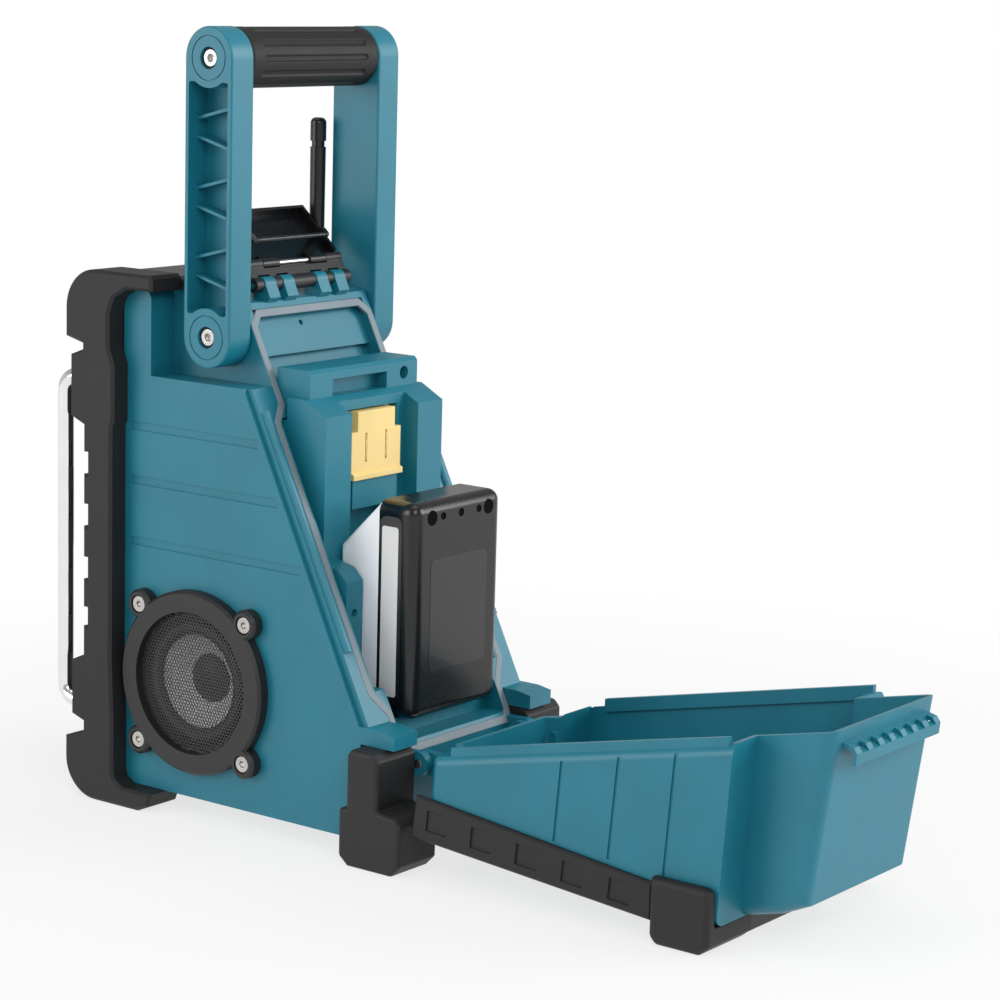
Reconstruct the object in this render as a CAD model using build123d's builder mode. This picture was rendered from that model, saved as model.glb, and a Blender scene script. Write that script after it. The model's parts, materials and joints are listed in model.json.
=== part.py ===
from build123d import *
import os
from math import cos, radians, sin, tan

os.makedirs("parts", exist_ok=True)

# Jobsite radio with its battery cover open at the back.  Millimetres, +Z up.
# The display faces -Y, the battery compartment and its cover face +Y, the
# right-hand loudspeaker faces +X.  The origin is on the floor, at the centre of
# the box round the radio as it stands with its cover open and its handle up.
# Places along Y and Z in the side view are measured back from the handle's
# pivot and up from the floor; seat() and side() bring them into the frame.

# Overall
HALF_WIDTH = 81.5              # half the width over the rubber bumpers and feet
TOP_Z = 298.0                  # top of the rubber bumpers
PANEL_X = 69.5                 # outer face of the side panels
NARROW_X = 51.0                # outer face of the narrow top, between the arms
WALL = 3.0                     # moulded walls
GAP = 0.3                      # air between parts assembled side by side
RUN = 0.05                     # running clearance round a hinge pin
SIDES = (("right", 1), ("left", -1))

# Handle
PIVOT_Y = -144.15
PIVOT_Z = 266.8
ARM_LENGTH = 147.7             # pivot to grip axis
ARM_RADIUS = 16.6
ARM_IN, ARM_OUT = 52.1, 69.5
GRIP_RADIUS = 16.3
CORE_RADIUS = 8.0
HEAD_RADIUS, HEAD_POCKET = 4.6, 5.9        # handle screw heads and their counterbores
SLEEVE_RADIUS = 5.2

# Housing outline
FRONT_Y = -60.0                # front edge of the housing
BASE_Z = 11.4                  # underside of the housing
SHOULDER_Z = 289.0             # top of the housing beside the display
POCKET_Y, POCKET_Z = -40.0, 242.0     # handle pocket's front wall and floor

# Parting plane of the cover: it leans forward as it rises
PART_FOOT = (118.0, 66.0)
PART_LEAN = 26.3               # degrees from upright
PART_TOP_Z = 284.4
TAIL_Y = 123.0                 # upright wall below the parting plane
TAIL_Z = PART_FOOT[1] - (TAIL_Y - PART_FOOT[0]) / tan(radians(PART_LEAN))

# Battery bay
BAY_WALL_Y = 30.0
BAY_X, BAY_FLOOR_X = 53.0, 45.0            # half widths of the bay, and down at its floor
BAY_TOP_X = 46.0
BAY_FLOOR_Z, BAY_HIP_Z = 70.0, 88.0
BAY_NECK_Z, BAY_SHOULDER_Z = 226.0, 240.0  # where the bay narrows, and its front wall's top
BAY_TOP_Z = 281.0

# Cover, modelled open and standing on its own feet
HINGE = (134.0, 52.9)
HINGE_RADIUS, HINGE_PIN = 6.5, 2.45
CLOSE_TURN = 104.0             # degrees from open to closed
SEAL_GAP = 0.5                 # rim to parting plane when closed
COVER_X, COVER_NARROW_X = 72.6, 50.6
COVER_WALL = 2.8
LIP_RISE = 3.4                 # inner lip above the rim
RIM_Y, RIM_STEP_Y, RIM_END_Y = 160.5, 342.0, 384.0
KEEL_START, KEEL_MID, KEEL_STEP = (157.5, 24.5), (175.0, 22.6), (336.5, 14.0)
KEEL_TURN, KEEL_END = (358.0, 19.5), (372.0, 26.0)

# Latch, modelled open
LATCH_AXIS = (6.0, 293.0)
LINK_LENGTH, LEVER_LENGTH = 12.0, 38.0
LINK_OPEN, LEVER_OPEN = 121.0, 138.0       # degrees up from +Y
LATCH_X = 39.5
LATCH_ROD = 1.5
POST_X, POST_HALF, POST_RADIUS = (14.0, 29.0), 4.4, 4.3

# Loudspeakers
SPEAKER = (-3.8, 77.6)
SPEAKER_SCREWS = 76.7          # side of the screw square
SPEAKER_BORE = 41.0
RING_RADIUS, GRILLE_RADIUS = 51.0, 39.5
RING_FACE_X = 76.5
LUG_FLARE = 5.0                # hollow corners between the ring and its screw lugs

# Rubber bumpers and feet
BUMPER_IN_X = 58.3
BLOCK_Y, BLOCK_RADIUS = -93.7, 22.0        # front of the end blocks, and their rounded corners
GUARD_X, GUARD_Y, GUARD_RADIUS = 75.5, -98.4, 4.5
GUARD_LOW_Z, GUARD_HIGH_Z = 54.0, 237.5
FOOT_IN_X = 50.0
FOOT_FRONT_Y, FOOT_BLOCK_Y, FOOT_TOP_Y, FOOT_TOE_Y = 107.0, 112.0, 133.0, 148.0
FOOT_TOP_Z, FOOT_TOE_Z = 63.4, 31.5
LEDGE_TOP_Z = 72.6

# Front panel
FACE_Y, FACE_WALL = -86.0, 3.0
FACE_X = 58.0
DISPLAY_Z, DISPLAY_SIZE = 246.0, (78.0, 34.0)
DIAL_Z, DIAL_RADIUS = 150.0, 23.0
BUTTON_SIZE, BUTTON_TRAVEL = (15.0, 8.0), 1.2
BOARD_Y = -74.0
JACK_Z = 62.0

# Battery, a slide pack standing on the bay's floor
BATTERY_X = 37.5
BATTERY_FRONT, BATTERY_SEAM, BATTERY_BACK = 69.0, 95.5, 120.5
BATTERY_BASE_Z, BATTERY_HEIGHT = 70.4, 117.0
CELL_RADIUS, CELL_LENGTH = 9.2, 65.0
CELL_ROW_Y = BATTERY_BACK - 5.0 - CELL_RADIUS


def seat(y, z, x=0.0):
    """Place in space of a side-view point."""
    return (x, PIVOT_Y + y, z)


def side(*points):
    """Side-view points on the YZ sketch plane."""
    return [(PIVOT_Y + y, z) for y, z in points]


def parting_y(z):
    """Where the parting plane stands at a height."""
    return PART_FOOT[0] - (z - PART_FOOT[1]) * tan(radians(PART_LEAN))


def rim_z(y):
    """Height of the open cover's rim, which meets the parting plane when closed."""
    lean = radians(PART_LEAN)
    rise = radians(90.0 + PART_LEAN - CLOSE_TURN)
    reach = (HINGE[0] - PART_FOOT[0]) * cos(lean) + (HINGE[1] - PART_FOOT[1]) * sin(lean)
    return HINGE[1] + (reach - SEAL_GAP + (y - HINGE[0]) * sin(rise)) / cos(rise)


def keel_z(y):
    """Height of the open cover's floor under its wide part."""
    return KEEL_MID[1] + (KEEL_STEP[1] - KEEL_MID[1]) * (y - KEEL_MID[0]) / (KEEL_STEP[0] - KEEL_MID[0])


def side_plane(x):
    """Side-view sketch plane at a distance from the middle."""
    return Plane.YZ.offset(x)


def turned_plane(angle, y, z, x=0.0):
    """Side-view plane at (y, z) whose first axis points angle degrees up from +Y."""
    return Plane(origin=seat(y, z, x), x_dir=(0, cos(radians(angle)), sin(radians(angle))),
                 z_dir=(1, 0, 0))


def front_plane(y):
    """Sketch plane facing the user, its second axis up and its normal towards -Y."""
    return Plane(origin=seat(y, 0), x_dir=(1, 0, 0), z_dir=(0, -1, 0))


def save(part, name):
    """Label a finished piece and write it."""
    part.label = name
    export_step(part, f"parts/{name}.step")


# ---------------------------------------------------------------- seal in the parting plane
GASKET_DEPTH, GASKET_PROUD, GASKET_WIDTH = 1.5, 0.3, 4.4
# the seal's right half, across and up the parting plane from its foot
SEAL_HALF = ((43.5, -9.8), (47.3, -5.0), (47.3, 11.0), (56.5, 24.0), (56.5, 176.0),
             (48.4, 186.0), (48.4, 231.0), (42.0, 237.5))

parting_plane = Plane(origin=seat(*PART_FOOT), x_dir=(-1, 0, 0),
                      z_dir=(0, cos(radians(PART_LEAN)), sin(radians(PART_LEAN))))
seal_loop = [(x, u) for x, u in SEAL_HALF] + [(-x, u) for x, u in reversed(SEAL_HALF)]
with BuildSketch() as seal_inner:
    Polygon(*seal_loop, align=None)
    offset(amount=-GASKET_WIDTH / 2)
with BuildSketch() as seal_outer:
    Polygon(*seal_loop, align=None)
    offset(amount=GASKET_WIDTH / 2)
seal_strip = seal_outer.sketch - seal_inner.sketch

# ---------------------------------------------------------------- main housing
EDGE_FOOT, EDGE_TOP = 109.0, 230.0         # heights where the parting bead starts and ends

with BuildPart() as housing:
    with BuildSketch(Plane.YZ) as shoulders:
        Polygon(*side((FRONT_Y, BASE_Z), (TAIL_Y, BASE_Z), (TAIL_Y, TAIL_Z),
                      (parting_y(POCKET_Z), POCKET_Z), (POCKET_Y, POCKET_Z),
                      (POCKET_Y, SHOULDER_Z), (FRONT_Y, SHOULDER_Z)), align=None)
        fillet(shoulders.vertices().group_by(Axis.Y)[-1].sort_by(Axis.X)[0], 13)
        fillet(shoulders.vertices().group_by(Axis.Y)[-1].sort_by(Axis.X)[-1], 6)
        fillet(shoulders.vertices().group_by(Axis.Y)[0].sort_by(Axis.X)[0], 9)
    extrude(amount=PANEL_X, both=True)
    with BuildSketch(Plane.YZ):
        Polygon(*side((FRONT_Y, 200), (parting_y(200), 200), (parting_y(PART_TOP_Z), PART_TOP_Z),
                      (parting_y(PART_TOP_Z) - 8, PART_TOP_Z + 1.6), (POCKET_Y, SHOULDER_Z - 1),
                      (FRONT_Y, SHOULDER_Z - 1)), align=None)
    extrude(amount=NARROW_X, both=True)
    # hollow inside, open at the front
    with BuildSketch(Plane.YZ):
        Polygon(*side((FRONT_Y - 1, BASE_Z + WALL), (TAIL_Y - WALL, BASE_Z + WALL), (TAIL_Y - WALL, 54.4),
                      (parting_y(POCKET_Z - WALL) - WALL, POCKET_Z - WALL),
                      (POCKET_Y - WALL, POCKET_Z - WALL), (POCKET_Y - WALL, SHOULDER_Z - 16),
                      (FRONT_Y - 1, SHOULDER_Z - 16)), align=None)
    extrude(amount=PANEL_X - WALL, both=True, mode=Mode.SUBTRACT)
    with BuildSketch(Plane.YZ):
        Polygon(*side((FRONT_Y - 1, 220), (20, 220), (parting_y(PART_TOP_Z - WALL) - WALL, PART_TOP_Z - WALL),
                      (FRONT_Y - 1, PART_TOP_Z - WALL)), align=None)
    extrude(amount=NARROW_X - WALL, both=True, mode=Mode.SUBTRACT)
    # battery bay: its walls, then its hollow
    with BuildSketch(Plane.YZ):
        Polygon(*side((BAY_WALL_Y - WALL, 55.0), (TAIL_Y, TAIL_Z),
                      (parting_y(BAY_SHOULDER_Z), BAY_SHOULDER_Z),
                      (BAY_WALL_Y - WALL, BAY_SHOULDER_Z)), align=None)
    extrude(amount=BAY_X + WALL, both=True)
    with BuildSketch(Plane.YZ):
        Polygon(*side((11, 235), (parting_y(235), 235), (parting_y(PART_TOP_Z), PART_TOP_Z),
                      (-2, PART_TOP_Z), (11, 256)), align=None)
    extrude(amount=BAY_TOP_X + 2, both=True)
    with BuildSketch(Plane.YZ):
        Polygon(*side((BAY_WALL_Y, BAY_HIP_Z), (160, BAY_HIP_Z), (60, BAY_NECK_Z),
                      (BAY_WALL_Y, BAY_NECK_Z)), align=None)
    extrude(amount=BAY_X, both=True, mode=Mode.SUBTRACT)
    with BuildSketch(Plane.YZ):
        Polygon(*side((BAY_WALL_Y, BAY_FLOOR_Z), (160, BAY_FLOOR_Z), (160, BAY_HIP_Z + 1),
                      (BAY_WALL_Y, BAY_HIP_Z + 1)), align=None)
    extrude(amount=BAY_FLOOR_X, both=True, mode=Mode.SUBTRACT)
    with BuildSketch(Plane.YZ):
        Polygon(*side((parting_y(BAY_TOP_Z) - 5.6, BAY_TOP_Z), (40, BAY_TOP_Z), (60, BAY_NECK_Z - 2),
                      (BAY_WALL_Y, BAY_NECK_Z - 2),
                      (14.0, 256.0), (parting_y(256) - 5.6, 256.0)), align=None)
    extrude(amount=BAY_TOP_X, both=True, mode=Mode.SUBTRACT)
    with BuildSketch(Plane.YZ):
        Polygon(*side((107, 61), (135, 61), (135, BAY_FLOOR_Z + 1), (107, BAY_FLOOR_Z + 1)), align=None)
    extrude(amount=BAY_FLOOR_X, both=True, mode=Mode.SUBTRACT)
    # small hole in the recess above the bay
    with BuildSketch(Plane.XZ.offset(-PIVOT_Y - 30)):
        with Locations((5.0, 271.0)):
            Circle(1.4)
    extrude(amount=30, mode=Mode.SUBTRACT)
    for _, s in SIDES:
        # room for the rear foot, and the ledge that caps it
        with BuildSketch(side_plane(s * (FOOT_IN_X - GAP))):
            Polygon(*side((FOOT_FRONT_Y - GAP, 0), (140, 0), (140, FOOT_TOP_Z + 0.1),
                          (FOOT_BLOCK_Y - GAP, FOOT_TOP_Z + 0.1), (FOOT_BLOCK_Y - GAP, FOOT_TOE_Z + GAP),
                          (FOOT_FRONT_Y - GAP, FOOT_TOE_Z + GAP)), align=None)
        extrude(amount=s * 40, mode=Mode.SUBTRACT)
        with BuildSketch(side_plane(s * FOOT_IN_X)):
            Polygon(*side((96, FOOT_TOP_Z + 0.1), (FOOT_TOP_Y + 1, FOOT_TOP_Z + 0.1),
                          (FOOT_TOP_Y + 1, LEDGE_TOP_Z - 1.5), (FOOT_TOP_Y - 8, LEDGE_TOP_Z),
                          (105, LEDGE_TOP_Z), (96, 90)), align=None)
        extrude(amount=s * (PANEL_X - FOOT_IN_X))
        # rebate for the cover's inner lip, with the rounded bead beside it
        with BuildSketch(side_plane(s * 66.9)):
            Polygon(*side((parting_y(LEDGE_TOP_Z) - 4.6, LEDGE_TOP_Z),
                          (parting_y(LEDGE_TOP_Z) + 6, LEDGE_TOP_Z),
                          (parting_y(POCKET_Z) + 6, POCKET_Z + 1), (parting_y(POCKET_Z) - 4.6, POCKET_Z + 1)),
                    align=None)
        extrude(amount=s * 5, mode=Mode.SUBTRACT)
        bead_plane = Plane(origin=seat(parting_y(EDGE_FOOT), EDGE_FOOT, s * 63.2), x_dir=(1, 0, 0),
                           z_dir=(0, -sin(radians(PART_LEAN)), cos(radians(PART_LEAN))))
        with BuildSketch(bead_plane):
            SlotOverall(6.0, 5.2)
        extrude(amount=(EDGE_TOP - EDGE_FOOT) / cos(radians(PART_LEAN)))
        # loudspeaker opening and its screw holes
        with BuildSketch(side_plane(s * (PANEL_X + 1))):
            with Locations(side(SPEAKER)[0]):
                Circle(SPEAKER_BORE)
                with GridLocations(SPEAKER_SCREWS, SPEAKER_SCREWS, 2, 2):
                    Circle(2.0)
        extrude(amount=-s * 8, mode=Mode.SUBTRACT)
        # shallow bands moulded across the panel
        for band_z in (213.5, 183.5, 149.5):
            with BuildSketch(side_plane(s * PANEL_X)):
                Polygon(*side((-54, band_z - 2.4), (parting_y(band_z) - 8, band_z - 2.4),
                              (parting_y(band_z) - 8, band_z + 2.4), (-54, band_z + 2.4)), align=None)
            extrude(amount=-s * 0.8, mode=Mode.SUBTRACT)
        # handle pivot boss and its hole
        with BuildSketch(side_plane(s * (NARROW_X - WALL))):
            with Locations(side((0, PIVOT_Z))[0]):
                Circle(9.0)
        extrude(amount=-s * 7)
        with BuildSketch(side_plane(s * (NARROW_X + 1))):
            with Locations(side((0, PIVOT_Z))[0]):
                Circle(3.0)
        extrude(amount=-s * 13, mode=Mode.SUBTRACT)
        # cover hinge ear
        with BuildSketch(side_plane(s * 44.5)):
            Polygon(*side((TAIL_Y - 1, 44), (HINGE[0] - 2, HINGE[1] - HINGE_RADIUS),
                          (HINGE[0], HINGE[1]), (HINGE[0] - 2, HINGE[1] + 6.2), (TAIL_Y - 1, 59)), align=None)
            with Locations(side(HINGE)[0]):
                Circle(HINGE_RADIUS)
                Circle(HINGE_PIN + RUN, mode=Mode.SUBTRACT)
        extrude(amount=s * 5)
        # latch hinge posts
        for post_x in POST_X:
            with BuildSketch(side_plane(s * post_x - POST_HALF)):
                Polygon(*side((1.0, 283.0), (parting_y(PART_TOP_Z) - 0.2, 283.0), (13.5, 286.5),
                              (10.2, LATCH_AXIS[1] + 0.6), (1.6, LATCH_AXIS[1] + 0.4)), align=None)
                with Locations(side(LATCH_AXIS)[0]):
                    Circle(POST_RADIUS)
                    Circle(LATCH_ROD + RUN, mode=Mode.SUBTRACT)
            extrude(amount=2 * POST_HALF)
    # groove of the cover's seal
    with BuildSketch(parting_plane):
        add(seal_strip)
    extrude(amount=-GASKET_DEPTH, mode=Mode.SUBTRACT)
    # antenna socket
    with BuildSketch(Plane.XY.offset(SHOULDER_Z + 1)):
        with Locations((-45.2, PIVOT_Y - 21.0)):
            Circle(3.0)
    extrude(amount=-12, mode=Mode.SUBTRACT)
save(housing.part, "main_housing")

# ---------------------------------------------------------------- front panel
BUTTONS = {                                # name: place across and up the face
    "button_preset_1": (-33.0, 211.0),
    "button_preset_2": (-11.0, 211.0),
    "button_preset_3": (11.0, 211.0),
    "button_preset_4": (33.0, 211.0),
    "button_power": (-40.0, 178.0),
    "button_band": (40.0, 178.0),
    "button_volume_down": (-40.0, 122.0),
    "button_volume_up": (40.0, 122.0),
}
JACKS = {"aux_jack": (-18.0, 1.85), "power_jack": (18.0, 2.85)}     # name: place across, bore radius

with BuildPart() as panel:
    with BuildSketch(Plane.YZ):
        Polygon(*side((FRONT_Y - GAP, 12), (-82, 12), (FACE_Y, 17), (FACE_Y, 283.5), (-80, 292.5),
                      (-70, 296.3),
                      (-31, 296.3), (-26.2, 293.5), (-26.2, SHOULDER_Z + GAP),
                      (FRONT_Y - GAP, SHOULDER_Z + GAP)),
                align=None)
    extrude(amount=FACE_X, both=True)
    with BuildSketch(Plane.YZ):
        Polygon(*side((FRONT_Y, 15), (FACE_Y + FACE_WALL, 18), (FACE_Y + FACE_WALL, 282), (FRONT_Y, 282)),
                align=None)
    extrude(amount=FACE_X - WALL, both=True, mode=Mode.SUBTRACT)
    with BuildSketch(front_plane(FACE_Y)):
        with Locations((0, DISPLAY_Z)):
            RectangleRounded(*DISPLAY_SIZE, 3)
    extrude(amount=-1.5, mode=Mode.SUBTRACT)
    with BuildSketch(front_plane(FACE_Y)):
        with Locations((0, DISPLAY_Z)):
            Rectangle(DISPLAY_SIZE[0] - 12, DISPLAY_SIZE[1] - 10)
        with Locations((0, DIAL_Z)):
            Circle(3.0 + RUN)
        with Locations(*BUTTONS.values()):
            Rectangle(BUTTON_SIZE[0] + 2 * GAP, BUTTON_SIZE[1] + 2 * GAP)
        for jack_x, _ in JACKS.values():
            with Locations((jack_x, JACK_Z)):
                Circle(5.0)
    extrude(amount=-FACE_WALL - 1, mode=Mode.SUBTRACT)
save(panel.part, "front_panel")

with BuildPart() as lens:
    with BuildSketch(front_plane(FACE_Y)):
        with Locations((0, DISPLAY_Z)):
            RectangleRounded(DISPLAY_SIZE[0] - 0.2, DISPLAY_SIZE[1] - 0.2, 2.9)
    extrude(amount=-1.5)
save(lens.part, "display_lens")

with BuildPart() as display:
    with BuildSketch(front_plane(FACE_Y + FACE_WALL)):
        with Locations((0, DISPLAY_Z)):
            Rectangle(DISPLAY_SIZE[0] - 6, DISPLAY_SIZE[1] - 5)
    extrude(amount=-(BOARD_Y - FACE_Y - FACE_WALL))
save(display.part, "display_module")

# main circuit board, with a switch behind every button and an encoder behind the dial
with BuildPart() as board:
    with BuildSketch(front_plane(BOARD_Y)):
        with Locations((0, 157)):
            Rectangle(104, 218)
    extrude(amount=-1.6)
    with BuildSketch(front_plane(BOARD_Y)):
        with Locations(*BUTTONS.values()):
            Rectangle(6, 6)
    extrude(amount=5.0)
    with BuildSketch(front_plane(BOARD_Y)):
        with Locations((0, DIAL_Z)):
            Rectangle(14, 14)
            Circle(3.0 + RUN, mode=Mode.SUBTRACT)
    extrude(amount=7.0)
    with BuildSketch(front_plane(BOARD_Y - 1.0)):
        with Locations((0, DIAL_Z)):
            Circle(3.0 + RUN)
    extrude(amount=-2.0, mode=Mode.SUBTRACT)
save(board.part, "circuit_board")

for name, place in BUTTONS.items():
    with BuildPart() as button:
        with BuildSketch(front_plane(FACE_Y + FACE_WALL + 0.1)):
            with Locations(place):
                Rectangle(BUTTON_SIZE[0], BUTTON_SIZE[1])
        extrude(amount=FACE_WALL + 2.4, taper=2)
        fillet(button.edges().group_by(Axis.Y)[0], 1.2)
        with BuildSketch(front_plane(FACE_Y + FACE_WALL + 0.1)):
            with Locations(place):
                Rectangle(BUTTON_SIZE[0] + 3, BUTTON_SIZE[1] + 3)
        extrude(amount=-1.0)
        with BuildSketch(front_plane(FACE_Y + FACE_WALL + 1.1)):
            with Locations(place):
                Circle(2.0)
        extrude(amount=-(BOARD_Y - 5.0 - BUTTON_TRAVEL - 0.15 - (FACE_Y + FACE_WALL + 1.1)))
    save(button.part, name)

with BuildPart() as dial:
    with BuildSketch(front_plane(FACE_Y - 0.5)):
        with Locations((0, DIAL_Z)):
            Circle(DIAL_RADIUS)
    extrude(amount=13, taper=3)
    fillet(dial.edges().group_by(Axis.Y)[0], 1.8)
    with BuildSketch(front_plane(FACE_Y - 14)):
        with Locations((11, DIAL_Z + 9)):
            Circle(4.5)
    extrude(amount=-1.6, mode=Mode.SUBTRACT)
    with BuildSketch(front_plane(FACE_Y - 0.5)):
        with Locations((0, DIAL_Z)):
            Circle(3.0)
    extrude(amount=-(BOARD_Y - FACE_Y - 1.0))
save(dial.part, "tuning_dial")

for name, (jack_x, bore) in JACKS.items():
    with BuildPart() as jack:
        with BuildSketch(front_plane(FACE_Y)):
            with Locations((jack_x, JACK_Z)):
                Circle(4.95)
        extrude(amount=-12)
        with BuildSketch(front_plane(FACE_Y)):
            with Locations((jack_x, JACK_Z)):
                Circle(bore)
        extrude(amount=-11, mode=Mode.SUBTRACT)
    save(jack.part, name)

# ---------------------------------------------------------------- bumpers and guard bars
NOTCHES = ((190.7, 6.2), (161.5, 6.2), (131.6, 6.2), (104.1, 5.4))     # centre height and half height

for hand, s in SIDES:
    with BuildPart() as bumper:
        with BuildSketch(side_plane(s * BUMPER_IN_X)) as outline:
            Polygon(*side((BLOCK_Y, 0), (-38, 0), (-30, 3.5), (-27, BASE_Z - GAP), (-50, BASE_Z - GAP),
                          (-56, 15), (-57, 20), (-57, 49), (-58.5, 80), (-58.5, 213), (-57, 216),
                          (-57, 247), (-61, 256), (-61, 275), (-57.5, 284), (-48, SHOULDER_Z + GAP),
                          (-29, SHOULDER_Z + GAP), (-29, TOP_Z - 2), (-31, TOP_Z), (BLOCK_Y, TOP_Z),
                          (BLOCK_Y, 260), (-81, 257), (-81, 253.5), (-90, 250), (-90, 216), (-80, 212),
                          (-80, 82), (-89, 78), (-89, 47), (-80, 44), (-80, 38.5), (BLOCK_Y, 33.5)),
                    align=None)
            for corner_z in (0, TOP_Z):
                corner = side((BLOCK_Y, corner_z))[0]
                fillet(outline.vertices().sort_by_distance(corner)[0], BLOCK_RADIUS)
            for z, half in NOTCHES:
                with Locations(side((-80, z))[0]):
                    Rectangle(6, 2 * half, mode=Mode.SUBTRACT)
        extrude(amount=s * (HALF_WIDTH - BUMPER_IN_X))
        chamfer(bumper.faces().sort_by(Axis.X)[-1 if s > 0 else 0].outer_wire().edges(), 1.6)
        with BuildSketch(side_plane(s * (BUMPER_IN_X - 1))):
            Polygon(*side((FRONT_Y - GAP, BASE_Z - GAP), (0, BASE_Z - GAP), (0, SHOULDER_Z + GAP - 0.01),
                          (FRONT_Y - GAP, SHOULDER_Z + GAP - 0.01)), align=None)
        extrude(amount=s * (PANEL_X + GAP + 1 - BUMPER_IN_X), mode=Mode.SUBTRACT)
        with BuildSketch(front_plane(-82)):
            with Locations((s * GUARD_X, GUARD_LOW_Z), (s * GUARD_X, GUARD_HIGH_Z)):
                Circle(GUARD_RADIUS)
        extrude(amount=14, mode=Mode.SUBTRACT)
    save(bumper.part, f"front_bumper_{hand}")

    with BuildPart() as guard:
        with BuildLine() as route:
            FilletPolyline(seat(-82, GUARD_LOW_Z, s * GUARD_X), seat(GUARD_Y, GUARD_LOW_Z, s * GUARD_X),
                           seat(GUARD_Y, GUARD_HIGH_Z, s * GUARD_X), seat(-82, GUARD_HIGH_Z, s * GUARD_X),
                           radius=9)
        with BuildSketch(front_plane(-82)):
            with Locations((s * GUARD_X, GUARD_LOW_Z)):
                Circle(GUARD_RADIUS)
        sweep(path=route.wire())
    save(guard.part, f"guard_bar_{hand}")

    with BuildPart() as foot:
        with BuildSketch(side_plane(s * FOOT_IN_X)):
            Polygon(*side((FOOT_FRONT_Y, 5), (FOOT_FRONT_Y + 6, 0), (FOOT_TOE_Y - 6, 0), (FOOT_TOE_Y, 6),
                          (FOOT_TOE_Y, FOOT_TOE_Z - 4), (FOOT_TOE_Y - 4, FOOT_TOE_Z),
                          (FOOT_TOP_Y, FOOT_TOE_Z + 1.5),
                          (FOOT_TOP_Y, FOOT_TOP_Z - 4), (FOOT_TOP_Y - 4, FOOT_TOP_Z),
                          (FOOT_BLOCK_Y + 2.5, FOOT_TOP_Z), (FOOT_BLOCK_Y, FOOT_TOP_Z - 3),
                          (FOOT_BLOCK_Y, FOOT_TOE_Z), (FOOT_FRONT_Y, FOOT_TOE_Z - 1)), align=None)
        extrude(amount=s * (HALF_WIDTH - FOOT_IN_X))
        chamfer(foot.faces().sort_by(Axis.X)[-1 if s > 0 else 0].outer_wire().edges(), 1.4)
    save(foot.part, f"rear_foot_{hand}")

# ---------------------------------------------------------------- loudspeakers
for hand, s in SIDES:
    centre = side(SPEAKER)[0]
    with BuildPart() as ring:
        with BuildSketch(side_plane(s * PANEL_X)):
            with Locations(centre):
                Circle(RING_RADIUS)
                with GridLocations(SPEAKER_SCREWS, SPEAKER_SCREWS, 2, 2):
                    Circle(8.2)
            offset(amount=LUG_FLARE, kind=Kind.INTERSECTION)
            offset(amount=-LUG_FLARE, kind=Kind.INTERSECTION)
        extrude(amount=s * (RING_FACE_X - PANEL_X))
        chamfer(ring.faces().sort_by(Axis.X)[-1 if s > 0 else 0].outer_wire().edges(), 1.5)
        with BuildSketch(side_plane(s * RING_FACE_X)):
            with Locations(centre):
                Circle(GRILLE_RADIUS)
                with GridLocations(SPEAKER_SCREWS, SPEAKER_SCREWS, 2, 2):
                    Circle(2.0)
        extrude(amount=-s * (RING_FACE_X - PANEL_X), mode=Mode.SUBTRACT)
        with BuildSketch(side_plane(s * RING_FACE_X)):
            with Locations(centre):
                with GridLocations(SPEAKER_SCREWS, SPEAKER_SCREWS, 2, 2):
                    Circle(5.0)
        extrude(amount=-s * 3.5, mode=Mode.SUBTRACT)
        with BuildSketch(side_plane(s * PANEL_X)):
            with Locations(centre):
                Circle(SPEAKER_BORE)
        extrude(amount=s * 2.7, mode=Mode.SUBTRACT)
    save(ring.part, f"speaker_ring_{hand}")

    with BuildPart() as grille:
        with BuildSketch(side_plane(s * (PANEL_X + 1.5))):
            with Locations(centre):
                Circle(SPEAKER_BORE - 0.1)
        extrude(amount=s * 1.2)
    save(grille.part, f"speaker_grille_{hand}")

    axis_plane = Plane(origin=(s * (PANEL_X + 1.5), centre[0], centre[1]), x_dir=(0, 1, 0), z_dir=(0, 0, 1))
    with BuildPart() as basket:
        with BuildSketch(axis_plane):
            Polygon((36, 0), (40.8, 0), (40.8, s * 4.5), (37.6, s * 4.5), (22, s * 26), (22, s * 41),
                    (0, s * 41), (0, s * 25.5), (20, s * 25.5), (36, s * 3), align=None)
        revolve(axis=Axis((0, centre[0], centre[1]), (1, 0, 0)))
    save(basket.part, f"speaker_basket_{hand}")

    with BuildPart() as cone:
        with BuildSketch(axis_plane):
            Polygon((35.8, s * 0.6), (35.8, s * 1.8), (32, s * 1.8), (12, s * 16), (0, s * 12.6),
                    (0, s * 11.4), (11.6, s * 14.6), (31.5, s * 0.6), align=None)
        revolve(axis=Axis((0, centre[0], centre[1]), (1, 0, 0)))
    save(cone.part, f"speaker_cone_{hand}")

with BuildPart() as speaker_screws:
    for _, s in SIDES:
        with BuildSketch(side_plane(s * (RING_FACE_X - 3.5))):
            with Locations(side(SPEAKER)[0]):
                with GridLocations(SPEAKER_SCREWS, SPEAKER_SCREWS, 2, 2):
                    Circle(4.4)
        extrude(amount=s * 2.8)
        with BuildSketch(side_plane(s * (RING_FACE_X - 3.5))):
            with Locations(side(SPEAKER)[0]):
                with GridLocations(SPEAKER_SCREWS, SPEAKER_SCREWS, 2, 2):
                    Circle(1.95)
        extrude(amount=-s * 8)
        with BuildSketch(side_plane(s * (RING_FACE_X - 0.7))):
            with Locations(side(SPEAKER)[0]):
                with GridLocations(SPEAKER_SCREWS, SPEAKER_SCREWS, 2, 2):
                    RegularPolygon(2.0, 6)
        extrude(amount=-s * 2.2, mode=Mode.SUBTRACT)
save(speaker_screws.part, "speaker_screws")

# ---------------------------------------------------------------- handle
RECESS_LOW, RECESS_HIGH, RECESS_FLOOR_X, RIB_FACE_X = 287.0, 394.0, 54.9, 62.9
RIB_PAIRS = (303.6, 340.6, 377.6)

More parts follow.
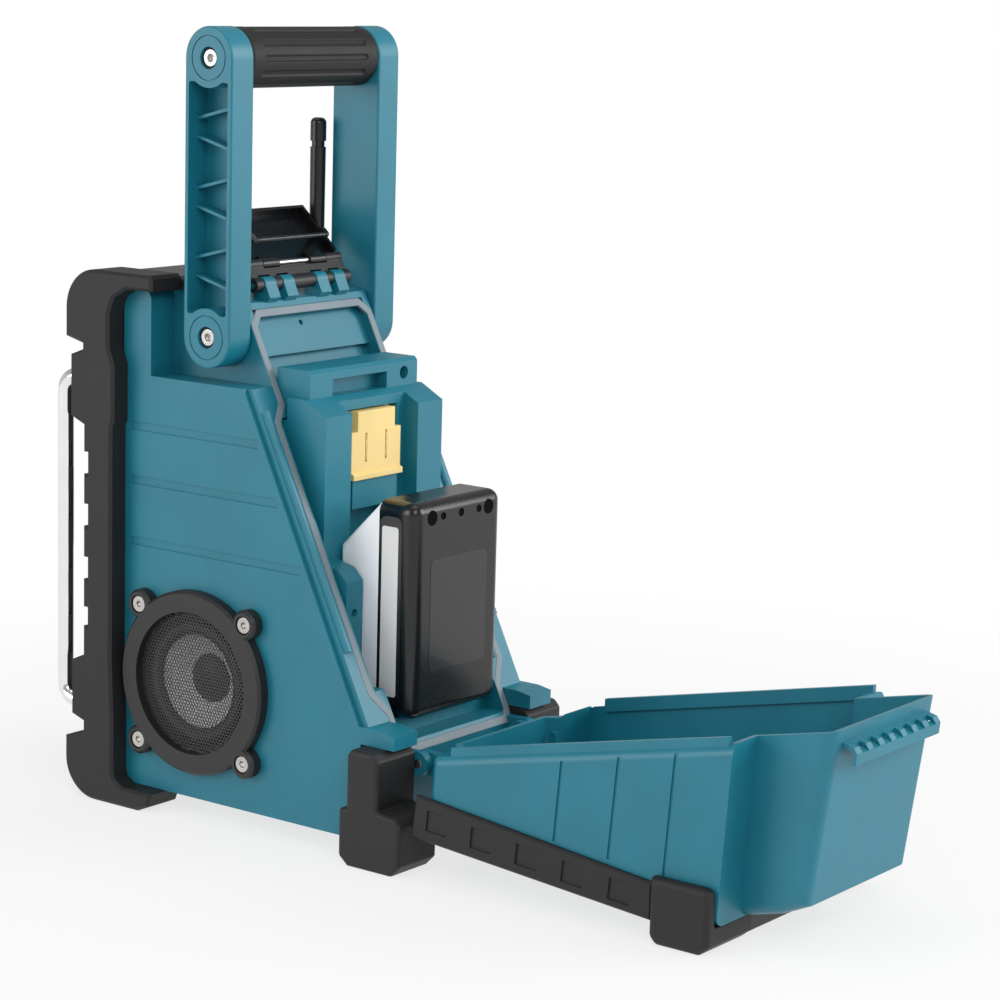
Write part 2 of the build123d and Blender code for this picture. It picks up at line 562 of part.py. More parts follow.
for hand, s in SIDES:
    grip_point, pivot_point = side((0, PIVOT_Z + ARM_LENGTH))[0], side((0, PIVOT_Z))[0]
    with BuildPart() as arm:
        with BuildSketch(side_plane(s * ARM_IN)):
            with Locations(side((0, PIVOT_Z + ARM_LENGTH / 2))[0]):
                SlotCenterToCenter(ARM_LENGTH, 2 * ARM_RADIUS, rotation=90)
        extrude(amount=s * (ARM_OUT - ARM_IN))
        fillet(arm.faces().filter_by(Axis.X).edges(), 1.2)
        with BuildSketch(side_plane(s * ARM_OUT)) as recess:
            Polygon(*side((-13.8, RECESS_LOW - 8), (13.8, RECESS_LOW - 8), (13.8, RECESS_HIGH + 8),
                          (-13.8, RECESS_HIGH + 8)), align=None)
            with Locations(grip_point, pivot_point):
                Circle(15.6, mode=Mode.SUBTRACT)
            fillet(recess.vertices(), 1.4)
        extrude(amount=-s * (ARM_OUT - RECESS_FLOOR_X), mode=Mode.SUBTRACT)
        for pair_z in RIB_PAIRS:
            for lean in (1, -1):
                with BuildSketch(side_plane(s * (RECESS_FLOOR_X - 0.5))):
                    Polygon(*side((-14.4, pair_z + lean * 4.6 - 0.8), (14.4, pair_z + lean * 12.0 - 0.8),
                                  (14.4, pair_z + lean * 12.0 + 0.8), (-14.4, pair_z + lean * 4.6 + 0.8)),
                            align=None)
                extrude(amount=s * (RIB_FACE_X - RECESS_FLOOR_X + 0.5))
        with BuildSketch(side_plane(s * ARM_OUT)):
            with Locations(grip_point, pivot_point):
                Circle(12.0)
                Circle(11.4, mode=Mode.SUBTRACT)
        extrude(amount=-s * 0.7, mode=Mode.SUBTRACT)
        with BuildSketch(side_plane(s * ARM_OUT)):
            with Locations(grip_point, pivot_point):
                Circle(HEAD_POCKET)
        extrude(amount=-s * 4.5, mode=Mode.SUBTRACT)
        with BuildSketch(side_plane(s * ARM_OUT)):
            with Locations(grip_point):
                Circle(2.6)
            with Locations(pivot_point):
                Circle(SLEEVE_RADIUS + RUN)
        extrude(amount=-s * 20, mode=Mode.SUBTRACT)
    save(arm.part, f"handle_arm_{hand}")

with BuildPart() as core:
    with BuildSketch(side_plane(-ARM_IN)):
        with Locations(side((0, PIVOT_Z + ARM_LENGTH))[0]):
            Circle(CORE_RADIUS)
            Circle(2.5, mode=Mode.SUBTRACT)
    extrude(amount=2 * ARM_IN)
save(core.part, "handle_core")

with BuildPart() as grip:
    with BuildSketch(side_plane(-(ARM_IN - 0.2))):
        with Locations(side((0, PIVOT_Z + ARM_LENGTH))[0]):
            Circle(GRIP_RADIUS)
            Circle(CORE_RADIUS, mode=Mode.SUBTRACT)
            with PolarLocations(GRIP_RADIUS, 16):
                Circle(0.9, mode=Mode.SUBTRACT)
    extrude(amount=2 * (ARM_IN - 0.2))
save(grip.part, "handle_grip")


def socket_screws(name, height, seat_x, shank_radius, shank_length):
    """A hex-socket screw on each side at the same height."""
    with BuildPart() as screws:
        for _, s in SIDES:
            spot = side((0, height))[0]
            with BuildSketch(side_plane(s * seat_x)):
                with Locations(spot):
                    Circle(HEAD_RADIUS)
            extrude(amount=s * 3.2)
            with BuildSketch(side_plane(s * seat_x)):
                with Locations(spot):
                    Circle(shank_radius)
            extrude(amount=-s * shank_length)
            with BuildSketch(side_plane(s * (seat_x + 3.2))):
                with Locations(spot):
                    RegularPolygon(2.3, 6)
            extrude(amount=-s * 2.4, mode=Mode.SUBTRACT)
    save(screws.part, name)


socket_screws("handle_grip_screws", PIVOT_Z + ARM_LENGTH, ARM_OUT - 4.5, 2.45, 28)
socket_screws("handle_pivot_screws", PIVOT_Z, ARM_OUT - 4.4, 2.0, 24)

with BuildPart() as sleeves:
    for _, s in SIDES:
        with BuildSketch(side_plane(s * NARROW_X)):
            with Locations(side((0, PIVOT_Z))[0]):
                Circle(SLEEVE_RADIUS)
                Circle(2.05, mode=Mode.SUBTRACT)
        extrude(amount=s * (ARM_OUT - 4.4 - NARROW_X))
save(sleeves.part, "handle_pivot_sleeves")

# ---------------------------------------------------------------- antenna
with BuildPart() as antenna_base:
    with BuildSketch(Plane.XY.offset(288.2)):
        with Locations((-45.2, PIVOT_Y - 21.0)):
            Circle(4.4)
    extrude(amount=9)
    with BuildSketch(Plane.XY.offset(288.2)):
        with Locations((-45.2, PIVOT_Y - 21.0)):
            Circle(2.9)
    extrude(amount=-7)
save(antenna_base.part, "antenna_base")

with BuildPart() as antenna:
    with BuildSketch(Plane.XY.offset(297.2)):
        with Locations((-45.2, PIVOT_Y - 21.0)):
            Circle(4.2)
    extrude(amount=66, taper=-0.2)
    with BuildSketch(Plane.XY.offset(363.2)):
        with Locations((-45.2, PIVOT_Y - 21.0)):
            Circle(3.6)
    extrude(amount=3.4)
    with BuildSketch(Plane.XY.offset(366.6)):
        with Locations((-45.2, PIVOT_Y - 21.0)):
            Circle(4.5)
    extrude(amount=13)
    fillet(antenna.edges().group_by(Axis.Z)[-1], 3.0)
save(antenna.part, "antenna_rod")

# ---------------------------------------------------------------- battery bay fittings
GUIDE_X = (28.5, 50.0)         # inner and outer faces of the battery guides

with BuildPart() as holder:
    with BuildSketch(Plane.YZ):
        Polygon(*side((BAY_WALL_Y, 150), (68, 150), (68, 229), (53, 237), (BAY_WALL_Y, 237)), align=None)
    extrude(amount=GUIDE_X[1], both=True)
    with BuildSketch(Plane.YZ):
        Polygon(*side((BAY_WALL_Y, 232), (53, 232), (53, 250), (51, 252), (BAY_WALL_Y, 252)), align=None)
    extrude(amount=BAY_TOP_X - GAP, both=True)
    for _, s in SIDES:
        with BuildSketch(side_plane(s * (BAY_TOP_X - GAP))):
            Polygon(*side((BAY_WALL_Y, 225), (41, 225), (41, 241), (BAY_WALL_Y, 241)), align=None)
        extrude(amount=s * 10, mode=Mode.SUBTRACT)
    # channels for the battery's rails, and the pocket of the terminal block
    with BuildSketch(Plane.YZ):
        Polygon(*side((58, 149), (69, 149), (69, 236), (58, 236)), align=None)
    extrude(amount=GUIDE_X[0], both=True, mode=Mode.SUBTRACT)
    with BuildSketch(Plane.YZ):
        Polygon(*side((46, 149), (59, 149), (59, 229), (46, 229)), align=None)
    extrude(amount=22.4, both=True, mode=Mode.SUBTRACT)
    with BuildSketch(Plane.YZ):
        Polygon(*side((45, 175), (61.5, 175), (61.5, 190.6), (45, 190.6)), align=None)
    extrude(amount=19.0, both=True)
    # slot and hole across the top bar
    with BuildSketch(front_plane(54)):
        with Locations((4, 241.5)):
            Rectangle(46, 9)
        with Locations((-34, 244)):
            Circle(3.6)
    extrude(amount=9, mode=Mode.SUBTRACT)
    # posts beside the battery's foot
    for _, s in SIDES:
        with BuildSketch(side_plane(s * 38.5)) as post:
            Polygon(*side((BAY_WALL_Y, 88), (80, 88), (86, 94), (86, 143), (80, 149), (68, 152),
                          (BAY_WALL_Y, 152)), align=None)
        extrude(amount=s * 13.5)
        with BuildSketch(front_plane(87)):
            with Locations((s * 45.2, 126)):
                Circle(2.2)
        extrude(amount=14, mode=Mode.SUBTRACT)
save(holder.part, "battery_holder")

# block that carries the terminals, in front of the battery's nose
with BuildPart() as terminal_block:
    with BuildSketch(Plane.YZ):
        Polygon(*side((46.2, 191), (64.0, 191), (64.0, 194), (62.0, 195), (62.0, 228),
                      (46.2, 228)), align=None)
    extrude(amount=21.0, both=True)
    for _, s in SIDES:
        with BuildSketch(front_plane(65)):
            with Locations((s * 18.5, 223)):
                Rectangle(5.4, 12)
            with Locations((s * 8.5, 208)):
                Rectangle(1.4, 16)
        extrude(amount=12, mode=Mode.SUBTRACT)
save(terminal_block.part, "terminal_block")

with BuildPart() as blades:
    for _, s in SIDES:
        with BuildSketch(front_plane(62)):
            with Locations((s * 8.5, 208)):
                Rectangle(0.8, 13)
        extrude(amount=9)
save(blades.part, "terminal_blades")

# ---------------------------------------------------------------- battery
RAIL_X = (23.0, 27.5)

with BuildPart() as lower_case:
    with BuildSketch(Plane.XY.offset(BATTERY_BASE_Z)) as plan:
        with Locations((0, PIVOT_Y + (BATTERY_SEAM + BATTERY_BACK) / 2)):
            Rectangle(2 * BATTERY_X, BATTERY_BACK - BATTERY_SEAM)
        fillet(plan.vertices().group_by(Axis.Y)[-1], 10)
    extrude(amount=BATTERY_HEIGHT)
    fillet(lower_case.edges().group_by(Axis.Z)[-1] + lower_case.edges().group_by(Axis.Z)[0], 2.2)
    with BuildSketch(Plane.XY.offset(BATTERY_BASE_Z + 2.5)) as hollow:
        with Locations((0, PIVOT_Y + (BATTERY_SEAM + BATTERY_BACK) / 2 - 1.25)):
            Rectangle(2 * BATTERY_X - 5, BATTERY_BACK - BATTERY_SEAM - 2.4)
        fillet(hollow.vertices().group_by(Axis.Y)[-1], 8)
    extrude(amount=BATTERY_HEIGHT - 5, mode=Mode.SUBTRACT)
    # shallow bed of the back label
    with BuildSketch(front_plane(BATTERY_BACK)):
        with Locations((0, 126)):
            RectangleRounded(46, 62, 2)
    extrude(amount=0.4, mode=Mode.SUBTRACT)
save(lower_case.part, "battery_case")

with BuildPart() as upper_case:
    with BuildSketch(Plane.YZ):
        Polygon(*side((BATTERY_SEAM, BATTERY_BASE_Z), (BATTERY_SEAM, 186), (BATTERY_FRONT, 159.6),
                      (BATTERY_FRONT, 88), (84, 76), (88, BATTERY_BASE_Z)), align=None)
    extrude(amount=BATTERY_X, both=True)
    fillet(upper_case.edges().filter_by(lambda e: e.center().Y < PIVOT_Y + BATTERY_SEAM - 2
                                        and abs(e.center().X) > BATTERY_X - 1), 3)
    with BuildSketch(Plane.YZ):
        Polygon(*side((BATTERY_SEAM + 1, BATTERY_BASE_Z + 2.5), (BATTERY_SEAM + 1, 181),
                      (BATTERY_SEAM - 1, 181),
                      (BATTERY_FRONT + 2.5, 157), (BATTERY_FRONT + 2.5, 91), (88, 78)), align=None)
    extrude(amount=BATTERY_X - 2.5, both=True, mode=Mode.SUBTRACT)
    for _, s in SIDES:
        with BuildSketch(side_plane(s * RAIL_X[0])):
            Polygon(*side((BATTERY_FRONT + 1, 96), (BATTERY_FRONT - 6.5, 96), (BATTERY_FRONT - 7.5, 98),
                          (BATTERY_FRONT - 7.5, 154), (BATTERY_FRONT - 5.5, 157),
                          (BATTERY_FRONT + 1, 157)), align=None)
        extrude(amount=s * (RAIL_X[1] - RAIL_X[0]))
    # slots for the terminals
    with BuildSketch(front_plane(BATTERY_FRONT - 1)):
        with Locations((-8.5, 140), (8.5, 140)):
            Rectangle(2.4, 44)
    extrude(amount=-4, mode=Mode.SUBTRACT)
    # pocket of the release button
    with BuildSketch(front_plane(BATTERY_FRONT - 1)):
        with Locations((0, 100)):
            Rectangle(24.6, 9.6)
    extrude(amount=-4, mode=Mode.SUBTRACT)
save(upper_case.part, "battery_cap")

with BuildPart() as release:
    with BuildSketch(front_plane(BATTERY_FRONT + 2.6)):
        with Locations((0, 100)):
            Rectangle(24.0, 9.0)
    extrude(amount=4.6)
    fillet(release.edges().group_by(Axis.Y)[0], 1.0)
    with BuildSketch(front_plane(BATTERY_FRONT + 2.6)):
        with Locations((0, 100)):
            Rectangle(28.0, 12.0)
    extrude(amount=-1.2)
save(release.part, "battery_release_button")

with BuildPart() as cells:
    for across in (-22.5, 0.0, 22.5):
        with BuildSketch(Plane.XY.offset(BATTERY_BASE_Z + 6)):
            with Locations((across, PIVOT_Y + CELL_ROW_Y)):
                Circle(CELL_RADIUS)
        extrude(amount=CELL_LENGTH)
    for level in (BATTERY_BASE_Z + 6 + CELL_LENGTH + 1 + CELL_RADIUS,
                  BATTERY_BASE_Z + 6 + CELL_LENGTH + 2 + 3 * CELL_RADIUS):
        with BuildSketch(side_plane(-CELL_LENGTH / 2)):
            with Locations(side((CELL_ROW_Y, level))[0]):
                Circle(CELL_RADIUS)
        extrude(amount=CELL_LENGTH)
save(cells.part, "battery_cells")

with BuildPart() as side_labels:
    for _, s in SIDES:
        with BuildSketch(side_plane(s * BATTERY_X)):
            with Locations(side(((97.5 + 109.0) / 2, 128.0))[0]):
                RectangleRounded(11.0, 92.0, 1.6)
        extrude(amount=s * 0.3)
save(side_labels.part, "battery_side_labels")

# ---------------------------------------------------------------- battery cover
BULGE_Y, BULGE_X = 151.0, 39.0             # hinge end bowed out round the bay's floor
ARM_X = (38.6, 44.0)                       # hinge arms, between the housing's ears

with BuildPart() as cover:
    with BuildSketch(Plane.YZ) as outer:
        Polygon(*side((RIM_Y, rim_z(RIM_Y)), (RIM_STEP_Y, rim_z(RIM_STEP_Y)), KEEL_STEP, KEEL_MID,
                      KEEL_START), align=None)
        fillet(outer.vertices().sort_by(Axis.X)[:2], 4)
    extrude(amount=COVER_X, both=True)
    fillet(cover.edges().filter_by(lambda e: abs(abs(e.center().X) - COVER_X) < 0.1
                                   and e.center().Z < 26), 6)
    with BuildSketch(Plane.YZ):
        Polygon(*side((RIM_STEP_Y - 12, rim_z(RIM_STEP_Y - 12)), (RIM_END_Y, rim_z(RIM_END_Y)),
                      KEEL_END, KEEL_TURN, KEEL_STEP, (320, 16)), align=None)
    extrude(amount=COVER_NARROW_X, both=True)
    fillet(cover.edges().filter_by(lambda e: abs(abs(e.center().X) - COVER_NARROW_X) < 0.1
                                   and e.center().Y > PIVOT_Y + RIM_STEP_Y
                                   and e.center().Z < 100), 7)
    with BuildSketch(Plane.XY.offset(26)):
        Polygon((BULGE_X, PIVOT_Y + BULGE_Y), (BULGE_X + 12, PIVOT_Y + RIM_Y + 1),
                (-BULGE_X - 12, PIVOT_Y + RIM_Y + 1), (-BULGE_X, PIVOT_Y + BULGE_Y), align=None)
    extrude(amount=rim_z(BULGE_Y) - 26)
    # hollow
    with BuildSketch(Plane.YZ):
        Polygon(*side((RIM_Y + COVER_WALL, 90), (RIM_STEP_Y - COVER_WALL, 130),
                      (KEEL_STEP[0] - COVER_WALL, KEEL_STEP[1] + COVER_WALL),
                      (KEEL_MID[0], KEEL_MID[1] + COVER_WALL),
                      (KEEL_START[0] + COVER_WALL, KEEL_START[1] + COVER_WALL)), align=None)
    extrude(amount=COVER_X - COVER_WALL, both=True, mode=Mode.SUBTRACT)
    with BuildSketch(Plane.YZ):
        Polygon(*side((RIM_STEP_Y - 14, 130), (RIM_END_Y - COVER_WALL, 130),
                      (RIM_END_Y - COVER_WALL - 0.4, 112), (KEEL_END[0] - COVER_WALL, KEEL_END[1] + 2),
                      (KEEL_TURN[0] - 1, KEEL_TURN[1] + COVER_WALL),
                      (KEEL_STEP[0] - 1, KEEL_STEP[1] + COVER_WALL),
                      (322, 17.4)), align=None)
    extrude(amount=COVER_NARROW_X - COVER_WALL, both=True, mode=Mode.SUBTRACT)
    with BuildSketch(Plane.XY.offset(28.8)):
        Polygon((BULGE_X - 2, PIVOT_Y + BULGE_Y + COVER_WALL), (BULGE_X + 8, PIVOT_Y + RIM_Y + 5),
                (-BULGE_X - 8, PIVOT_Y + RIM_Y + 5),
                (-BULGE_X + 2, PIVOT_Y + BULGE_Y + COVER_WALL), align=None)
    extrude(amount=70, mode=Mode.SUBTRACT)
    for _, s in SIDES:
        # inner lip along the long rim
        with BuildSketch(side_plane(s * (COVER_X - 5.2))):
            Polygon(*side((172, rim_z(172) - 4), (172, rim_z(172) + LIP_RISE),
                          (RIM_STEP_Y - 4, rim_z(RIM_STEP_Y - 4) + LIP_RISE),
                          (RIM_STEP_Y - 4, rim_z(RIM_STEP_Y - 4) - 4)), align=None)
        extrude(amount=s * 2.9)
        # grooves across the side walls
        for top, bottom in (((242.9, 79.7), (239.6, 37.9)), ((276.8, 88.0), (272.5, 35.5)),
                            ((309.8, 96.0), (305.2, 31.0))):
            with BuildSketch(side_plane(s * COVER_X)):
                Polygon(*side((top[0] - 0.9, top[1]), (top[0] + 0.9, top[1]), (bottom[0] + 0.9, bottom[1]),
                              (bottom[0] - 0.9, bottom[1])), align=None)
            extrude(amount=-s * 0.9, mode=Mode.SUBTRACT)
        # hinge arm
        with BuildSketch(side_plane(s * ARM_X[0])):
            Polygon(*side((HINGE[0], HINGE[1] - 6), (BULGE_Y + 9, HINGE[1] - 12), (BULGE_Y + 9, HINGE[1] + 4),
                          (HINGE[0], HINGE[1] + 6)), align=None)
            with Locations(side(HINGE)[0]):
                Circle(6.0)
                Circle(HINGE_PIN, mode=Mode.SUBTRACT)
        extrude(amount=s * (ARM_X[1] - ARM_X[0]))
    # hook lip outside the end wall, with slots along it
    with BuildSketch(Plane.YZ):
        Polygon(*side((382.0, 109.0), (389.2, 107.2), (391.2, 104.5), (390.6, 98.5), (388.8, 98.5),
                      (389.0, 104.2), (387.8, 105.4), (381.6, 106.6)), align=None)
    extrude(amount=41.0, both=True)
    for slot in range(7):
        with BuildSketch(Plane.YZ.offset(33.0 - 11.0 * slot - 3.2)):
            Polygon(*side((386.0, 110), (393, 110), (393, 103.4), (386.0, 106.0)), align=None)
        extrude(amount=6.4, mode=Mode.SUBTRACT)
save(cover.part, "battery_cover")

for hand, s in SIDES:
    with BuildPart() as rail:
        with BuildSketch(side_plane(s * COVER_X)):
            Polygon(*side((154, 45.4), (301, 29.8), (301, 10.6), (151, 22.5)), align=None)
        extrude(amount=s * 3.4)
        chamfer(rail.faces().sort_by(Axis.X)[-1 if s > 0 else 0].outer_wire().edges(), 1.2)
        for step in range(5):
            y = 168 + 28.5 * step
            with BuildSketch(side_plane(s * (COVER_X + 3.4))):
                with Locations(side((y, 34.6 - 0.1 * (y - 151)))[0]):
                    Rectangle(13.0, 11.0, rotation=-5)
            extrude(amount=-s * 1.0, mode=Mode.SUBTRACT)
    save(rail.part, f"cover_rail_{hand}")

    with BuildPart() as cover_foot:
        with BuildSketch(side_plane(s * 38.0)):
            Polygon(*side((301.2, 4), (305, 0), (330, 0), (336, 5), (336, 32.4), (332, 34.0), (301.2, 34.0)),
                    align=None)
        extrude(amount=s * (79.0 - 38.0))
        chamfer(cover_foot.faces().sort_by(Axis.X)[-1 if s > 0 else 0].outer_wire().edges(), 2.0)
        with BuildSketch(side_plane(0)):
            Polygon(*side((290, keel_z(290)), KEEL_STEP, (339, 60), (290, 60)), align=None)
        extrude(amount=s * COVER_X, mode=Mode.SUBTRACT)
    save(cover_foot.part, f"cover_foot_{hand}")

with BuildPart() as bar:
    with BuildSketch(side_plane(-38.0)) as section:
        Polygon(*side((325, 2), (333, 2), (333, 14.0), (325, 14.4)), align=None)
        fillet(section.vertices().sort_by(Axis.Y)[:2], 1.5)
    extrude(amount=76.0)
save(bar.part, "cover_cross_bar")

with BuildPart() as hinge_pins:
    for _, s in SIDES:
        with BuildSketch(side_plane(s * 38.0)):
            with Locations(side(HINGE)[0]):
                Circle(HINGE_PIN)
        extrude(amount=s * 11.6)
save(hinge_pins.part, "cover_hinge_pins")

# ---------------------------------------------------------------- latch
KNUCKLES = ((-9.3, 9.3), (18.7, 24.3), (-24.3, -18.7), (33.7, LATCH_X), (-LATCH_X, -33.7))
pin_point = (LATCH_AXIS[0] + LINK_LENGTH * cos(radians(LINK_OPEN)),
             LATCH_AXIS[1] + LINK_LENGTH * sin(radians(LINK_OPEN)))
HOOK_RADIUS = 1.3

with BuildPart() as rod:
    with BuildSketch(side_plane(-LATCH_X)):
        with Locations(side(LATCH_AXIS)[0]):
            Circle(LATCH_ROD)
    extrude(amount=2 * LATCH_X)
save(rod.part, "latch_hinge_rod")

with BuildPart() as link:
    with BuildSketch(turned_plane(LINK_OPEN, *LATCH_AXIS, x=-LATCH_X)):
        with Locations((7.0, 0)):
            Rectangle(4.0, 3.2)
    extrude(amount=2 * LATCH_X)
    for start, stop in KNUCKLES:
        with BuildSketch(turned_plane(LINK_OPEN, *LATCH_AXIS, x=start)):
            Circle(3.9)
            with Locations((3.6, 0)):
                Rectangle(4.0, 3.2)
            Circle(LATCH_ROD + RUN, mode=Mode.SUBTRACT)
        extrude(amount=stop - start)
    for start, stop in ((LATCH_X - 13, LATCH_X), (-LATCH_X, 13 - LATCH_X)):
        with BuildSketch(turned_plane(LINK_OPEN, *LATCH_AXIS, x=start)):
            with Locations((LINK_LENGTH, 0)):
                Circle(2.8)
            with Locations((10.0, 0)):
                Rectangle(3.0, 3.2)
            with Locations((LINK_LENGTH, 0)):
                Circle(LATCH_ROD, mode=Mode.SUBTRACT)
        extrude(amount=stop - start)
save(link.part, "latch_link")

with BuildPart() as latch_pin:
    with BuildSketch(side_plane(-LATCH_X)):
        with Locations(side(pin_point)[0]):
            Circle(LATCH_ROD)
    extrude(amount=2 * LATCH_X)
save(latch_pin.part, "latch_pin")

# pressed tray: plate on the far side from the cover, rims round it, hook bar below the pin
PLATE_DROP = 3.2
with BuildPart() as lever:
    with BuildSketch(turned_plane(LEVER_OPEN, *pin_point, x=-LATCH_X)):
        Polygon((3.6, PLATE_DROP - 1.0), (LEVER_LENGTH, PLATE_DROP - 1.0), (LEVER_LENGTH, PLATE_DROP + 1.0),
                (3.6, PLATE_DROP + 1.0), align=None)
    extrude(amount=2 * LATCH_X)
    with BuildSketch(turned_plane(LEVER_OPEN, *pin_point, x=-LATCH_X)):
        Polygon((LEVER_LENGTH - 2, -2.4), (LEVER_LENGTH, -2.4), (LEVER_LENGTH, PLATE_DROP),
                (LEVER_LENGTH - 2, PLATE_DROP), align=None)
    extrude(amount=2 * LATCH_X)
    for start, stop in ((LATCH_X - 2, LATCH_X), (-LATCH_X, 2 - LATCH_X)):
        with BuildSketch(turned_plane(LEVER_OPEN, *pin_point, x=start)):
            Polygon((3.6, -2.4), (LEVER_LENGTH, -2.4), (LEVER_LENGTH, PLATE_DROP),
                    (3.6, PLATE_DROP), align=None)
        extrude(amount=stop - start)
    for start, stop in ((13.0, 26.2), (-26.2, -13.0)):
        with BuildSketch(turned_plane(LEVER_OPEN, *pin_point, x=start)):
            Circle(2.8)
            Polygon((0, -1.6), (5.0, -1.6), (5.0, PLATE_DROP + 1.0), (1.0, 2.6), align=None)
            Circle(LATCH_ROD + RUN, mode=Mode.SUBTRACT)
        extrude(amount=stop - start)
    for start, stop in ((27.4, 29.9), (-29.9, -27.4)):
        with BuildSketch(turned_plane(LEVER_OPEN, *pin_point, x=start)):
            Polygon((11.4, PLATE_DROP), (15.6, PLATE_DROP), (14.2, -9.5), (12.5, -11.2), (8.6, -11.2),
                    (7.6, -10.2), (7.6, -8.8), (8.6, -8.0), (11.2, -7.8), align=None)
        extrude(amount=stop - start)
    with BuildSketch(turned_plane(LEVER_OPEN, *pin_point, x=-29.9)):
        with Locations((9.1, -9.5)):
            Circle(HOOK_RADIUS)
    extrude(amount=59.8)
save(lever.part, "latch_lever")

# ---------------------------------------------------------------- cover seal
with BuildPart() as gasket:
    with BuildSketch(parting_plane.offset(GASKET_PROUD)):
        add(seal_strip)
    extrude(amount=-GASKET_DEPTH - GASKET_PROUD)
save(gasket.part, "cover_gasket")
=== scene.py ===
"""Looks of a jobsite radio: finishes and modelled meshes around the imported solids.

Every sub-assembly is a class that keeps its sizes in millimetres, builds its meshes in
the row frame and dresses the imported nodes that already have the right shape.
"""

import json
import logging
from dataclasses import dataclass
from enum import Enum
from math import ceil, cos, hypot, pi, radians, sin, sqrt
from typing import Iterable, Iterator, Sequence, Union

import bmesh
import bpy
from mathutils import Matrix, Vector

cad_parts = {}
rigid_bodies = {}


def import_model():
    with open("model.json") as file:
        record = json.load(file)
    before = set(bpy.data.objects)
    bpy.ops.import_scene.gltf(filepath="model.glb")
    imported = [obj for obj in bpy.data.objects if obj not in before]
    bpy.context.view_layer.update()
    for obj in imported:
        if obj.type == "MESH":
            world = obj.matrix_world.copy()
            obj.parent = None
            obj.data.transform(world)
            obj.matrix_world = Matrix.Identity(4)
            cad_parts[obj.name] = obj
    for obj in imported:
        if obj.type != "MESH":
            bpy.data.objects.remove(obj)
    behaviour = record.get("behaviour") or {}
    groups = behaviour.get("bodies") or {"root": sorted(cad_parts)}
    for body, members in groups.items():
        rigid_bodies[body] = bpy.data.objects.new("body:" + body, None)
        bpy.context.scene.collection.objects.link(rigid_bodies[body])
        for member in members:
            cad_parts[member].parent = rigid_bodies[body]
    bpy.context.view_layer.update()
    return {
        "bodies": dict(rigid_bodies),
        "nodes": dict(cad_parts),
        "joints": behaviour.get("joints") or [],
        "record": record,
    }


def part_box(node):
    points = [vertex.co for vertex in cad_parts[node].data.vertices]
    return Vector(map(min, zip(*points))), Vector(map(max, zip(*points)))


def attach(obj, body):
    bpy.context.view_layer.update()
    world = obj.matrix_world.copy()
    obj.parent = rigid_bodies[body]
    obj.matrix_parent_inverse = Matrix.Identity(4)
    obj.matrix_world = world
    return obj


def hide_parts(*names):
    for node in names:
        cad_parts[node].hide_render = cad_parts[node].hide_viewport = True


log = logging.getLogger("radio")

MM = 0.001
SIDES = (("right", 1.0), ("left", -1.0))
ACROSS, REAR, UP = Vector((1.0, 0.0, 0.0)), Vector((0.0, 1.0, 0.0)), Vector((0.0, 0.0, 1.0))
WHITE = (1.0, 1.0, 1.0)
Point = tuple[float, float, float]
Colour = tuple[float, float, float]
Profile = Sequence[tuple[float, float]]


# ------------------------------------------------------------------ shader maths
@dataclass
class Value:
    """A number that changes over a surface; its operators add Math nodes."""

    nodes: "Nodes"
    socket: bpy.types.NodeSocket

    def _math(self, operation: str, *operands: "Number") -> "Value":
        """Join the operands through one Math node."""
        node = self.nodes.node("ShaderNodeMath", {"operation": operation}, dict(enumerate(operands)))
        return Value(self.nodes, node.outputs[0])

    def __add__(self, other: "Number") -> "Value":
        """This value plus another."""
        return self._math("ADD", self, other)

    def __mul__(self, other: "Number") -> "Value":
        """This value times another."""
        return self._math("MULTIPLY", self, other)

    def __sub__(self, other: "Number") -> "Value":
        """This value less another."""
        return self._math("SUBTRACT", self, other)

    def __rsub__(self, other: "Number") -> "Value":
        """Another value less this one."""
        return self._math("SUBTRACT", other, self)

    __radd__ = __add__
    __rmul__ = __mul__

    def most(self, other: "Number") -> "Value":
        """The larger of this value and another."""
        return self._math("MAXIMUM", self, other)

    def ramp(self, start: float, stop: float) -> "Value":
        """A smooth step from 0 at start to 1 at stop.

        Args:
            start: the value that gives 0.
            stop: the value that gives 1.

        Returns:
            The stepped value.
        """
        node = self.nodes.node("ShaderNodeMapRange", {"interpolation_type": "SMOOTHSTEP"},
                               {"Value": self, "From Min": start, "From Max": stop})
        return Value(self.nodes, node.outputs[0])


Number = Union[Value, float]


